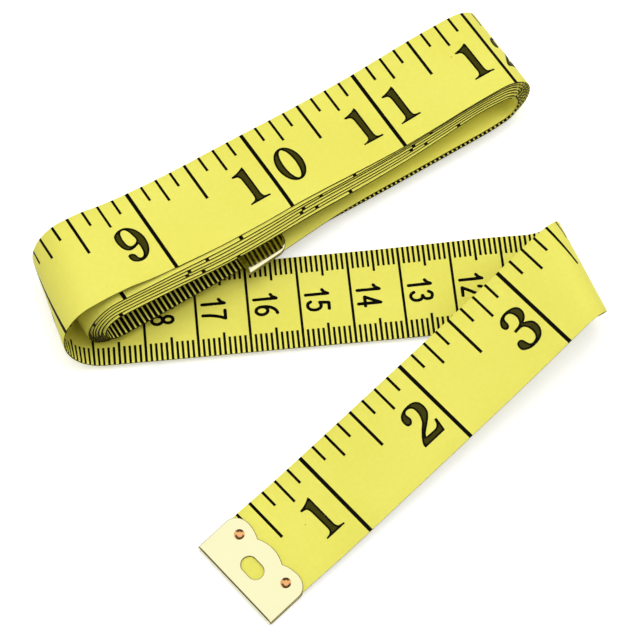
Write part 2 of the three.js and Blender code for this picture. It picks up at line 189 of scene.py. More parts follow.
# The tape's end turns askew, slides forward, lifts, and rolls about its length
TAIL_END, TAIL_SETTLED, TAIL_TURN_RUN = -25.6, -7.8, 16.0
TAIL_LIFT_RUN, TAIL_LIFT = 24.0, 0.72
TAIL_SLIDE, TAIL_SLOPE, TAIL_ROLL = 2.15, math.tan(math.radians(5.0)), 0.065
# How far each over layer, outermost first, has slid to the front, at five places along
SLIDES = {-50.0: [0.0, 0.85, 1.08, 1.35, 1.7, 2.04, 2.5],
          -30.0: [0.0, 0.72, 1.17, 1.62, 1.9, 2.4, 2.62],
          -2.0: [0.0, 0.4, 0.55, 0.85, 1.25, 1.55, 2.08],
          15.0: [0.0, 0.04, 0.13, 0.43, 0.7, 0.98, 1.38],
          36.0: [0.0, 0.0, 0.08, 0.2, 0.38, 0.58, 0.8]}
UNDER_SLIDE_RIGHT, UNDER_SLIDE_STEP = 0.5, 0.39
SLIDE_RUN = 6.0
LEFT_MOST = [-57.98, -57.3, -56.9, -56.5, -56.0, -55.3]
RIGHT_MOST = [41.6, 41.0, 40.35, 39.75, 39.15, 38.55, 37.85]

# The over layers sag between the two ends, and the outermost springs up at the left bend.
# Their fronts dip too, and the very edge most of all.
SAG = [(-60, 1.0), (-50, 0.9), (-44, 0.4), (-38, -0.15), (-30, -0.8), (-15, -0.95), (0, -1.2),
       (12, -0.75), (19, 0.1), (26, 1.0), (32, 1.4), (45, 1.4)]
FRONT_DIP = [(-45, 0.0), (-30, -0.2), (-13, -0.6), (-3, -0.1), (6, 0.45), (13, 0.85),
             (20, 1.05), (27, 0.95), (32, 0.85), (38, 0.8), (42, 1.3)]
EDGE_DIP = [(-40, 0.0), (-27, 0.6), (-17, 0.85), (-10, 0.3), (-3, 0.0)]
SPRING = [(-60, 1.7), (-51, 1.75), (-47.5, 1.5), (-44, 0.7), (-38, 0.1), (-32, 0.0)]
print("winding: %d layers over and under, top at %.2f mm" % (TURN_COUNT, COIL_HEIGHT))

# %% The winding's own directions and heights
bend_arc = math.pi * BEND_RADIUS
tilt_slope, roll_slope = math.tan(TILT_ANGLE), math.tan(ROLL_ANGLE)
coil_heading = STRIP_HEADING + 2 * BEND_ANGLE - 180 + COIL_TURN
coil_along, coil_across = heading(coil_heading), heading(coil_heading - 90)


def bent_over(points):
    """Flat points turned over by the left bend, as a mirror would, at twice its radius."""
    travel = bend_arc - 2 * past_line(points, BEND_START, bend_travel)
    return points + np.outer(travel, bend_travel) + UP * (2 * BEND_RADIUS)


coil_origin = bent_over(on_table(COIL_MARK, [0.0]))[0]
coil_origin[2] = 0.0
coil_origin = coil_origin + coil_along * COIL_SHIFT + coil_across * COIL_FORWARD


def coil_place(along, side, height):
    """Points from their places in the winding's own directions."""
    along, side, height = np.broadcast_arrays(along, side, height)
    return (coil_origin + np.outer(along, coil_along) + np.outer(side, coil_across)
            + np.outer(height, UP))


def over_height(layer, along, side):
    plane = COIL_HEIGHT + along * tilt_slope + side * roll_slope
    if layer == 0:
        plane = plane + curve(along, SPRING)
    front = 0.5 + side / WIDTH
    dip = front * curve(along, FRONT_DIP) + np.minimum(front, 1.0) ** 5 * curve(along, EDGE_DIP)
    return plane + curve(along, SAG) - dip - layer * (OVER_PITCH + OVER_FAN * front)


def under_height(layer, along):
    step = UNDER_PITCH * (1 - smooth((along - STEP_PLACE) / STEP_RUN))
    return CORE_HEIGHT + step + layer * UNDER_PITCH


print("winding heading: %.1f degrees" % coil_heading)


# %% [markdown]
# Half rounds join the layers at the two ends. Each half round is as wide as the layers are
# apart there, so only its outermost reach is chosen, and its middle follows from it.

# %% The half rounds at the winding's ends
ROUND_PASSES = 4


def half_round(side, most, over_layer, under_layer):
    """Each pass takes the layers' gap at the last end found, and so comes nearer."""
    end = most
    for _ in range(ROUND_PASSES):
        radius = (over_height(over_layer, end, 0.0) - under_height(under_layer, end)) / 2
        end = most - side * radius
    return {"side": side, "end": end, "over": over_layer, "under": under_layer,
            "radius": radius, "arc": math.pi * radius}


right_turns = [half_round(1, most, k, k) for k, most in enumerate(RIGHT_MOST)]
left_turns = [half_round(-1, most, k + 1, k) for k, most in enumerate(LEFT_MOST)]
LEFT_END, RIGHT_END = left_turns[0]["end"], right_turns[0]["end"]


def between_turns(along, left, right):
    return mix(left, right, (along - LEFT_END) / (RIGHT_END - LEFT_END))


def tail_turned(along):
    return np.clip(1 - (along - TAIL_SETTLED) / TAIL_TURN_RUN, 0.0, 1.0)


def over_slide(layer, along):
    return curve(along, [(place, slides[layer]) for place, slides in SLIDES.items()])


def under_slide(layer, along):
    if layer == TAIL_LAYER:
        turned = tail_turned(along)
        straight = max(TAIL_SETTLED - along, 0.0)
        return TAIL_SLIDE + TAIL_SLOPE * (TAIL_TURN_RUN * turned * turned / 2 + straight)
    right = UNDER_SLIDE_RIGHT + UNDER_SLIDE_STEP * layer
    return between_turns(along, over_slide(layer + 1, LEFT_END), right)


def turn_slide(turn, distance):
    """The slide at a distance along a half round. It changes from the over layer's to the
    under layer's, and a little of the change lies before and after the round."""
    inner = turn["end"] - turn["side"] * SLIDE_RUN
    over, under = over_slide(turn["over"], inner), under_slide(turn["under"], inner)
    return mix(over, under, smooth(distance / (2 * SLIDE_RUN + turn["arc"])))


def near_turn(turns, along):
    """The half round that is near enough to change the slide here, if there is one."""
    for turn in turns:
        if (turn["end"] - along) * turn["side"] < SLIDE_RUN:
            return turn
    return None


def over_slide_at(layer, along):
    turn = near_turn([right_turns[layer]] + left_turns[max(layer - 1, 0):layer], along)
    if turn is None:
        return over_slide(layer, along)
    return turn_slide(turn, SLIDE_RUN - (turn["end"] - along) * turn["side"])


def under_slide_at(layer, along):
    turn = near_turn([right_turns[layer]] + left_turns[layer:layer + 1], along)
    if turn is None:
        return under_slide(layer, along)
    return turn_slide(turn, SLIDE_RUN + turn["arc"] + (turn["end"] - along) * turn["side"])


for turn in (right_turns[0], right_turns[-1], left_turns[0], left_turns[-1]):
    print("half round at %.1f mm, radius %.2f mm" % (turn["end"], turn["radius"]))

# %% [markdown]
# Now the rule itself, one row of points across the ribbon at a time.

# %% Rows of points across the ribbon
ROLL_WIDTH = math.cos(ROLL_ANGLE)


def top_row(distance, across):
    along = (distance - COIL_MARK) * math.cos(TILT_ANGLE)
    side = across * ROLL_WIDTH
    return coil_place(along, side, over_height(0, along, side))


def ribbon_row(distance, across):
    flat = on_table(distance, across)
    stray = strip_stray(distance, across)
    if distance < STRIP_MARK:
        wrap = math.pi + math.radians(CREASE_LEAN)
        turned = np.clip(past_line(flat, CREASE_START, crease_travel) / CREASE_RADIUS, 0, wrap)
        share = (1 - np.cos(turned)) / 2
        lift = curve(distance, LEADER_LIFT) * share
        return (rolled(flat, CREASE_START, crease_travel, CREASE_RADIUS, wrap)
                + np.outer(lift, UP) + stray * (1 - share)[:, None])
    settle = top_row(distance, across) - bent_over(flat)
    past = past_line(flat, BEND_START, bend_travel) / bend_arc
    share = smooth(past)
    tuck = BEND_TUCK * np.sin(math.pi * np.clip(past, 0.0, 1.0)) * (across / WIDTH + 0.5)
    stray = stray * (1 - share)[:, None] - np.outer(tuck, bend_travel)
    return (rolled(flat, BEND_START, bend_travel, BEND_RADIUS, math.pi) + stray
            + settle * share[:, None])


def over_row(layer, along, across):
    side = across * ROLL_WIDTH + over_slide_at(layer, along)
    return coil_place(along, side, over_height(layer, along, side))


def under_row(layer, along, across):
    side = across * ROLL_WIDTH
    slide, height = under_slide_at(layer, along), under_height(layer, along)
    if layer < TAIL_LAYER:
        return coil_place(along, side + slide, height)
    square = TAIL_SLOPE * tail_turned(along) * side
    risen = smooth(1 - (along - TAIL_SETTLED) / TAIL_LIFT_RUN)
    lift = (TAIL_LIFT - TAIL_ROLL * side) * risen
    return coil_place(along + square, side + slide, height + lift)


def turn_row(turn, share, across):
    side = across * ROLL_WIDTH + turn_slide(turn, SLIDE_RUN + share * turn["arc"])
    over = over_height(turn["over"], turn["end"], side)
    under = under_height(turn["under"], turn["end"])
    along = turn["end"] + turn["side"] * turn["radius"] * math.sin(math.pi * share)
    return coil_place(along, side, mix(over, under, (1 - math.cos(math.pi * share)) / 2))


print("a row at the strip's mark:", ribbon_row(STRIP_MARK, np.array([0.0]))[0].round(3))

# %% [markdown]
# The rows are laid out in order from the start clip to the end clip. Each row keeps its
# true distance along the tape, measured on the middle line, because the printed scale
# needs it. Rows stand half a millimetre apart where the ribbon bends, and wider where it
# runs straight inside the winding. The two outer columns are close together, so that the
# cut edges can be thinner than the sheet. Rounds of a real winding aren't equally tight, so
# a little slack per round sets where its marks come to lie. Where the ribbon lies on the
# table, its middle is lifted by half of the sheet's thickness.

# %% Lay the whole ribbon out in rows
CLIP_TIP = 0.6
CUTS = [76.2, 101.6, 203.2, 228.6]
ROW_STEP, RUN_STEP, TURN_ROWS = 0.5, 2.0, 26
ROUND_SLACK = [0.43, 0.41, 0.14, 0.0, -0.43, -0.78, 1.5]
COLUMNS = np.array([-9.75, -9.55, -7.5, -5, -2.5, 0, 2.5, 5, 7.5, 9.55, 9.75])
TABLE_EASE = 2.0

ease_start = right_turns[0]["end"] - SLIDE_RUN
ribbon_end = COIL_MARK + ease_start / math.cos(TILT_ANGLE)
distances, rows = [], []
for start, stop in zip([CLIP_TIP] + CUTS, CUTS + [ribbon_end]):
    count = math.ceil((stop - start) / ROW_STEP)
    for place in np.linspace(start, stop, count + 1)[(1 if distances else 0):]:
        distances.append(place)
        rows.append(ribbon_row(place, COLUMNS))


def follow(row_at, start, stop, count, slack=0.0):
    """Lay rows on from the last one, and share the slack out among them."""
    first = distances[-1]
    for place in np.linspace(start, stop, count + 1)[1:]:
        row = row_at(place)
        middle = len(COLUMNS) // 2
        distances.append(distances[-1] + np.linalg.norm(row[middle] - rows[-1][middle]))
        rows.append(row)
    for k in range(count):
        distances[k - count] += slack * (distances[k - count] - first) / abs(stop - start)


def run_count(start, stop):
    return math.ceil(abs(stop - start) / RUN_STEP)


for layer in range(TURN_COUNT):
    right = right_turns[layer]
    start = ease_start if layer == 0 else left_turns[layer - 1]["end"]
    follow(lambda x: over_row(layer, x, COLUMNS), start, right["end"],
           run_count(start, right["end"]))
    follow(lambda x: turn_row(right, x, COLUMNS), 0.0, 1.0, TURN_ROWS)
    stop = TAIL_END if layer == TAIL_LAYER else left_turns[layer]["end"]
    follow(lambda x: under_row(layer, x, COLUMNS), right["end"], stop,
           run_count(right["end"], stop), ROUND_SLACK[layer])
    if layer < TAIL_LAYER:
        follow(lambda x: turn_row(left_turns[layer], x, COLUMNS), 1.0, 0.0, TURN_ROWS)

tape_distance = np.array(distances)
tape_middle = np.array(rows) + FRAME_SHIFT
table_rise = (SHEET_THICKNESS / 2 - CORE_HEIGHT) * np.clip(
    1 - (tape_middle[:, :, 2] - CORE_HEIGHT) / TABLE_EASE, 0.0, 1.0)
tape_middle[:, :, 2] += table_rise
along_step = np.gradient(tape_middle, axis=0)
across_step = np.gradient(tape_middle, axis=1)
tape_face = np.cross(across_step, along_step)
tape_face /= np.linalg.norm(tape_face, axis=2, keepdims=True)
print("tape: %d rows, %.1f mm long" % (len(tape_distance), tape_distance[-1]))

# %% [markdown]
# ## The ribbon's meshes
# The ribbon crosses both folds, and each fold is a joint. A soft piece may turn smoothly
# between two bodies at one joint, so the tape is made in five stretches: leader, crease,
# strip, left bend and winding. They are cut at printed inch lines, where black ink hides
# the seam. A single mesh would look no better and couldn't follow both joints.
#
# Each stretch is a closed sheet with its own thickness: inch face, centimetre face, and
# two slightly rounded edges. The winding's edges are squarer, because its rounds are pressed
# together. The distance along and the place across go into a UV map in millimetres, and the
# print reads them from there.
#
# Every piece is a mesh made from numbers, so three short helpers come first. They turn all
# faces outward, shade a mesh smoothly between its sharp edges, and put it into the scene.

# %% Helpers for meshes
def face_outward(mesh):
    work = bmesh.new()
    work.from_mesh(mesh)
    bmesh.ops.recalc_face_normals(work, faces=work.faces)
    work.to_mesh(mesh)
    work.free()


def shade_smooth(mesh, sharp_degrees):
    mesh.polygons.foreach_set("use_smooth", [True] * len(mesh.polygons))
    mesh.set_sharp_from_angle(angle=math.radians(sharp_degrees))


def place_mesh(name, mesh):
    piece = bpy.data.objects.new(name, mesh)
    bpy.context.scene.collection.objects.link(piece)
    return piece


print("mesh helpers ready")

# %% Build one stretch of tape
EDGE_SHARE, WINDING_EDGE_SHARE = 0.55, 0.9
INCH_SIDE, METRIC_SIDE, EDGE_SIDE = 0, 1, 2
# A row belongs to the winding's right round where its face looks to the right by this much
ROUND_FACING = 0.45
ROW_MATCH = 0.001
TAPE_SHARP = 40


def tape_stretch(name, start, stop, finishes, edge_share):
    half_thickness = np.full(len(COLUMNS), SHEET_THICKNESS / 2)
    half_thickness[[0, -1]] *= edge_share
    keep = np.where((tape_distance > start - ROW_MATCH) & (tape_distance < stop + ROW_MATCH))[0]
    middle, face = tape_middle[keep], tape_face[keep]
    lift = face * half_thickness[None, :, None]
    rows_kept, columns = len(keep), len(COLUMNS)
    corners = np.concatenate([(middle + lift).reshape(-1, 3), (middle - lift).reshape(-1, 3)])
    under = rows_kept * columns
    quads, materials = [], []

    def add(a, b, c, d, finish):
        quads.append((a, b, c, d))
        materials.append(finish)

    # Rows of the winding's right round take the last finish, the edge painted as lit; the other
    # rows take the edge painted in shade.
    right_round = face[:, 0] @ coil_along > ROUND_FACING
    for row in range(rows_kept - 1):
        edge = len(finishes) - 1 if right_round[row] else EDGE_SIDE
        for column in range(columns - 1):
            a = row * columns + column
            b, c, d = a + 1, a + columns + 1, a + columns
            add(a, b, c, d, INCH_SIDE)
            add(under + a, under + d, under + c, under + b, METRIC_SIDE)
        for a, flip in ((row * columns, True), (row * columns + columns - 1, False)):
            b = a + columns
            quad = (a, b, under + b, under + a) if flip else (a, under + a, under + b, b)
            add(*quad, edge)
    for row, flip in ((0, False), (rows_kept - 1, True)):
        for column in range(columns - 1):
            a = row * columns + column
            quad = (a, under + a, under + a + 1, a + 1)
            add(*(quad[::-1] if flip else quad), EDGE_SIDE)

    mesh = bpy.data.meshes.new(name)
    mesh.from_pydata((corners * MM).tolist(), [], quads)
    mesh.polygons.foreach_set("material_index", materials)
    for finish in finishes:
        mesh.materials.append(finish)
    place = np.zeros((2 * under, 2))
    place[:, 0] = np.tile(np.repeat(tape_distance[keep], columns), 2)
    place[:, 1] = np.tile(np.tile(COLUMNS + WIDTH / 2, rows_kept), 2)
    corner_of = np.zeros(len(mesh.loops), dtype=np.int32)
    mesh.loops.foreach_get("vertex_index", corner_of)
    layer = mesh.uv_layers.new(name="tape_place")
    layer.data.foreach_set("uv", place[corner_of].astype(np.float32).ravel())
    shade_smooth(mesh, TAPE_SHARP)
    mesh.update()
    return place_mesh(name, mesh)


print("sheet %.2f mm thick, edges %.2f mm" % (SHEET_THICKNESS, SHEET_THICKNESS * EDGE_SHARE))

# %% [markdown]
# ## Shader tools
# A printed line is a mask: 1 where the ink is, 0 elsewhere. It is set by arithmetic on the
# tape's own distance, so it stays sharp at any size and needs no picture. A line repeats at
# a spacing, starts at an edge and has a length, and that is all that both scales need. So
# one node group draws every kind of line, and each material places it with its own values.

# %% Helpers for sockets and sums
def socket_value(node, name, value):
    if hasattr(value, "is_output"):
        node.id_data.links.new(value, node.inputs[name])
    else:
        node.inputs[name].default_value = value


def math_node(tree, operation, *values, clamp=False):
    node = tree.nodes.new("ShaderNodeMath")
    node.operation = operation
    node.use_clamp = clamp
    for index, value in enumerate(values):
        socket_value(node, index, value)
    return node.outputs[0]


def soft_step(tree, value, edge, blur):
    """1 where value is under edge, 0 over it, with a blur on the way."""
    node = tree.nodes.new("ShaderNodeMapRange")
    node.interpolation_type = "SMOOTHSTEP"
    socket_value(node, "Value", value)
    socket_value(node, "From Min", math_node(tree, "SUBTRACT", edge, blur))
    socket_value(node, "From Max", math_node(tree, "ADD", edge, blur))
    node.inputs["To Min"].default_value = 1.0
    node.inputs["To Max"].default_value = 0.0
    return node.outputs["Result"]


print("socket helpers ready")


# %% Helpers for colours, noise and bump
def mixed(tree, factor, first, second):
    """The first colour where factor is 0, the second where it is 1."""
    node = tree.nodes.new("ShaderNodeMix")
    node.data_type = "RGBA"
    socket_value(node, "Factor", factor)
    socket_value(node, "A", first)
    socket_value(node, "B", second)
    return node.outputs["Result"]


def noise(tree, place, scale, detail=2.0):
    node = tree.nodes.new("ShaderNodeTexNoise")
    node.inputs["Scale"].default_value = scale
    node.inputs["Detail"].default_value = detail
    tree.links.new(place, node.inputs["Vector"])
    return node.outputs["Fac"]


def new_material(name):
    material = bpy.data.materials.new(name)
    material.use_nodes = True
    tree = material.node_tree
    return material, tree, tree.nodes["Principled BSDF"]


def bump_on(tree, shader, height, strength, distance):
    bump = tree.nodes.new("ShaderNodeBump")
    bump.inputs["Strength"].default_value = strength
    bump.inputs["Distance"].default_value = distance
    tree.links.new(height, bump.inputs["Height"])
    tree.links.new(bump.outputs["Normal"], shader.inputs["Normal"])


print("material helpers ready")


# %% Helpers for node groups
def new_group(name, inputs, outputs):
    """A group with its sockets, and the nodes that carry values in and out of it."""
    group = bpy.data.node_groups.new(name, "ShaderNodeTree")
    for label, kind, value in inputs:
        socket = group.interface.new_socket(name=label, in_out="INPUT", socket_type=kind)
        if value is not None:
            socket.default_value = value
    for label, kind in outputs:
        group.interface.new_socket(name=label, in_out="OUTPUT", socket_type=kind)
    entry, leave = group.nodes.new("NodeGroupInput"), group.nodes.new("NodeGroupOutput")
    return group, entry.outputs, leave.inputs


def place_group(tree, group, **values):
    node = tree.nodes.new("ShaderNodeGroup")
    node.node_tree = group
    for name, value in values.items():
        socket_value(node, name.replace("_", " "), value)
    return node.outputs


print("group helpers ready")

# %% Group: lines printed across a tape
FLOAT, COLOR, VECTOR = "NodeSocketFloat", "NodeSocketColor", "NodeSocketVector"
SIDE_BLUR, TIP_BLUR, SCALE_END_BLUR = 0.03, 0.06, 0.01
# The scale stops this far after its last line, so that the line has its whole thickness
LAST_LINE_ROOM = 0.4

printed_lines, given, made = new_group(
    "printed_lines",
    [("Along", FLOAT, None), ("Inward", FLOAT, None), ("Spacing", FLOAT, 1.0),
     ("Length", FLOAT, 3.0), ("Thickness", FLOAT, 0.5), ("Last", FLOAT, 1500.0)],
    [("Ink", FLOAT)])
tree = printed_lines
count = math_node(tree, "DIVIDE", given["Along"], given["Spacing"])
nearest = math_node(tree, "MULTIPLY", math_node(tree, "ROUND", count), given["Spacing"])
off = math_node(tree, "ABSOLUTE", math_node(tree, "SUBTRACT", given["Along"], nearest))
half_line = math_node(tree, "MULTIPLY", given["Thickness"], 0.5)
line = soft_step(tree, off, half_line, SIDE_BLUR)
short = soft_step(tree, given["Inward"], given["Length"], TIP_BLUR)
scale_end = math_node(tree, "ADD", given["Last"], LAST_LINE_ROOM)
used = soft_step(tree, given["Along"], scale_end, SCALE_END_BLUR)
ink = math_node(tree, "MULTIPLY", math_node(tree, "MULTIPLY", line, short), used)
tree.links.new(ink, made["Ink"])
print("group printed_lines:", len(tree.nodes), "nodes")

# %% [markdown]
# The tape is woven glass fibre under a smooth coat of vinyl. Up close the coat is slightly
# mottled, the weave shows through as a fine grid, and a few small specks lie in it. Both
# faces and the edges have this, so it is a group as well. Bump alone carries the weave:
# threads of a third of a millimetre are too fine for geometry.
#
# The mottling is two noises laid over each other, wide patches and fine grain. Their sum
# stays near one half, so it is stretched round that before it mixes the two yellows.

# %% Group: the coated weave
PATCH_SCALE, PATCH_SHARE = 0.045, 0.7
GRAIN_SCALE, GRAIN_SHARE = 1.1, 0.3
MOTTLE_STRETCH, MOTTLE_SHIFT = 2.2, -0.6
SPECK_SCALE, SPECK_RADIUS, SPECK_BLUR, SPECK_STRENGTH = 0.11, 0.022, 0.012, 0.55
SPECK_COLOUR = (0.23, 0.18, 0.02, 1)
COAT_ROUGHNESS, ROUGHNESS_SPREAD = 0.34, 0.16

coated_weave, given, made = new_group(
    "coated_weave",
    [("Place", VECTOR, None), ("Light", COLOR, (0.9, 0.85, 0.16, 1)),
     ("Deep", COLOR, (0.8, 0.74, 0.11, 1)), ("Thread", FLOAT, 0.36), ("Specks", FLOAT, 1.0)],
    [("Color", COLOR), ("Height", FLOAT), ("Roughness", FLOAT)])
tree = coated_weave
patches = noise(tree, given["Place"], PATCH_SCALE, 3.0)
grain = noise(tree, given["Place"], GRAIN_SCALE)
shade = math_node(tree, "ADD", math_node(tree, "MULTIPLY", patches, PATCH_SHARE),
                  math_node(tree, "MULTIPLY", grain, GRAIN_SHARE))
shade = math_node(tree, "MULTIPLY_ADD", shade, MOTTLE_STRETCH, MOTTLE_SHIFT, clamp=True)
body = mixed(tree, shade, given["Light"], given["Deep"])
cells = tree.nodes.new("ShaderNodeTexVoronoi")
cells.inputs["Scale"].default_value = SPECK_SCALE
tree.links.new(given["Place"], cells.inputs["Vector"])
speck = math_node(tree, "MULTIPLY", given["Specks"],
                  soft_step(tree, cells.outputs["Distance"], SPECK_RADIUS, SPECK_BLUR))
speck = math_node(tree, "MULTIPLY", speck, SPECK_STRENGTH)
tree.links.new(mixed(tree, speck, body, SPECK_COLOUR), made["Color"])
parts = tree.nodes.new("ShaderNodeSeparateXYZ")
tree.links.new(given["Place"], parts.inputs[0])


def thread_wave(axis):
    threads = math_node(tree, "DIVIDE", parts.outputs[axis], given["Thread"])
    return math_node(tree, "SINE", math_node(tree, "MULTIPLY", threads, 2 * math.pi))


tree.links.new(math_node(tree, "MULTIPLY", thread_wave("X"), thread_wave("Y")), made["Height"])
roughness = math_node(tree, "MULTIPLY_ADD", grain, ROUGHNESS_SPREAD, COAT_ROUGHNESS)
tree.links.new(roughness, made["Roughness"])
print("group coated_weave:", len(tree.nodes), "nodes")

# %% [markdown]
# ## The tape's finishes
# The inch face has lines at every inch, half, quarter and eighth, all from one edge. The
# centimetre face has millimetres along both edges, longer marks at the fives, and a line
# right across at each centimetre. In the winding only narrow strips of that face show, and
# there the marks are drawn heavier: the extra ink is painted shade, for the dark that those
# strips lie in under the rounds above.
#
# The cut edges are one finish in three painted shades of light. On the leader, the strip
# and the bends they are the cloth core's yellow, darkened with painted shade. Between the
# pressed rounds of the winding the painted shade is deeper, nearly black. Where the rounds
# turn at its right end, the edges are painted lighter, as if lit, and the millimetre ink
# laps over them.

# %% Make the tape's materials
TAPE_LIGHT, TAPE_DEEP = (0.905, 0.860, 0.165, 1), (0.830, 0.780, 0.118, 1)
INK_COLOUR = (0.002, 0.0018, 0.001, 1)
INCH = 25.4
INCH_SCALE_END, METRIC_SCALE_END = 60 * INCH, 1500.0
# Each kind of mark is its spacing, its length and its thickness. ACROSS is longer than the
# tape is wide.
ACROSS = 30.0
INCH_MARKS = [(INCH, ACROSS, 0.78), (INCH / 2, 9.15, 0.60), (INCH / 4, 5.65, 0.53),
              (INCH / 8, 3.7, 0.53)]
METRIC_MARKS = [(10.0, ACROSS, 0.52), (5.0, 4.65, 0.50), (1.0, 3.65, 0.48)]
# Heavier marks for the winding: the extra ink is painted shade, for the dark its narrow strips
# lie in.
SHADE_HEAVY_MARKS = [(10.0, ACROSS, 0.68), (5.0, 4.65, 0.66), (1.0, 3.65, 0.64)]


def tape_place(tree):
    """The place on the tape in millimetres: as a vector, along it, and across it."""
    place = tree.nodes.new("ShaderNodeUVMap")
    place.uv_map = "tape_place"
    parts = tree.nodes.new("ShaderNodeSeparateXYZ")
    tree.links.new(place.outputs["UV"], parts.inputs[0])
    return place.outputs["UV"], parts.outputs["X"], parts.outputs["Y"]


def tape_finish(name, marks, from_both_edges, last):
    material, tree, shader = new_material(name)
    place, along, inward = tape_place(tree)
    weave = place_group(tree, coated_weave, Place=place, Light=TAPE_LIGHT, Deep=TAPE_DEEP)
    if from_both_edges:
        other_edge = math_node(tree, "SUBTRACT", WIDTH, inward)
        inward = math_node(tree, "MINIMUM", inward, other_edge)
    ink = None
    for spacing, length, thickness in marks:
        lines = place_group(tree, printed_lines, Along=along, Inward=inward, Spacing=spacing,
                            Length=length, Thickness=thickness, Last=last)["Ink"]
        ink = lines if ink is None else math_node(tree, "MAXIMUM", ink, lines)
    tree.links.new(mixed(tree, ink, weave["Color"], INK_COLOUR), shader.inputs["Base Color"])
    tree.links.new(weave["Roughness"], shader.inputs["Roughness"])
    bump_on(tree, shader, weave["Height"], 0.12, 0.04 * MM)
    shader.inputs["Specular IOR Level"].default_value = 0.03
    return material


inch_face = tape_finish("tape_inch_face", INCH_MARKS, False, INCH_SCALE_END)
metric_face = tape_finish("tape_metric_face", METRIC_MARKS, True, METRIC_SCALE_END)
# Painted shade: the winding's centimetre face, with the heavier marks.
shade_heavy_face = tape_finish("tape_metric_face_painted_shade", SHADE_HEAVY_MARKS, True, METRIC_SCALE_END)


def edge_finish(name, light, deep, tick=0.0):
    """A cut edge, darkened or lightened by painted shade and light. A tick is the thickness of
    the millimetre ink that laps over it.
    """
    material, tree, shader = new_material(name)
    place, along, _ = tape_place(tree)
    weave = place_group(tree, coated_weave, Place=place, Light=light, Deep=deep, Thread=0.5,
                        Specks=0.0)
    colour = weave["Color"]
    if tick:
        ink = place_group(tree, printed_lines, Along=along, Spacing=1.0, Thickness=tick,
                          Last=METRIC_SCALE_END)["Ink"]
        colour = mixed(tree, ink, colour, INK_COLOUR)
    tree.links.new(colour, shader.inputs["Base Color"])
    bump_on(tree, shader, weave["Height"], 0.3, 0.06 * MM)
    shader.inputs["Roughness"].default_value = 0.8
    shader.inputs["Specular IOR Level"].default_value = 0.1
    return material


# Painted shade: the cut edge is the cloth core's yellow, darkened as if it lay in shade.
cut_edge_with_shade = edge_finish("tape_cut_edge_painted_shade", (0.15, 0.13, 0.012, 1), (0.06, 0.05, 0.005, 1))
# Painted shade: the winding's cut edges are nearly black, for the shade between its pressed
# rounds.
painted_shade_edge = edge_finish("tape_edge_painted_deep_shade", (0.05, 0.043, 0.004, 1), (0.02, 0.017, 0.002, 1))
# Painted light: at the right round the edges are a lighter yellow, as if lit; the ticks on them
# are print.
lit_ticked_edge = edge_finish("tape_ticked_edge_painted_light", (0.62, 0.58, 0.09, 1), (0.42, 0.38, 0.05, 1),
                          tick=0.5)
tape_finishes = [inch_face, metric_face, cut_edge_with_shade]
winding_finishes = [inch_face, shade_heavy_face, painted_shade_edge, lit_ticked_edge]
print("tape finishes:", [finish.name for finish in tape_finishes + winding_finishes[1:]])

# %% [markdown]
# ## Lay the five stretches
# The leader, the strip and the winding each ride one body. The crease and the left bend ride
# none, and stay where they were laid.

TAPE_END = float(tape_distance[-1])
STRETCHES = {
    "tape_leader_cloth": (CLIP_TIP, CUTS[0]),
    "tape_crease_cloth": (CUTS[0], CUTS[1]),
    "tape_strip_cloth": (CUTS[1], CUTS[2]),
    "tape_bend_cloth": (CUTS[2], CUTS[3]),
    "tape_winding_cloth": (CUTS[3], TAPE_END),
}


def metres(point):
    return tuple(float(value) * MM for value in point)


def hold(piece, stretch):
    """Make a piece move with the stretch of tape that it belongs to."""
    if stretch == "tape_leader_cloth":
        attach(piece, "leader")
    elif stretch == "tape_crease_cloth":
        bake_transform(piece)
    elif stretch == "tape_strip_cloth":
        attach(piece, "strip")
    elif stretch == "tape_bend_cloth":
        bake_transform(piece)
    else:
        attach(piece, "coil")


for name, (start, stop) in STRETCHES.items():
    if name == "tape_winding_cloth":
        cloth = tape_stretch(name, start, stop, winding_finishes, WINDING_EDGE_SHARE)
    else:
        cloth = tape_stretch(name, start, stop, tape_finishes, EDGE_SHARE)
    hold(cloth, name)
    print("%s: %.1f mm of tape" % (name, stop - start))

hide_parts("tape_leader")
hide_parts("tape_strip")
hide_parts("tape_coil")

# %% [markdown]
# ## The numerals
# The inch numerals are bold and old-fashioned, black with a dark olive middle. The
# centimetre numerals are thin and plain, and lie on their side. Blender's font objects
# would be quick, but no font at hand has these forms, and its letters would still have to
# be bent with the tape. So each numeral is drawn as outlines in flat millimetres, filled
# with triangles, bent with the tape and given the thickness of a coat of ink. A smooth
# curve runs through the points of an outline, and "!" marks a corner.

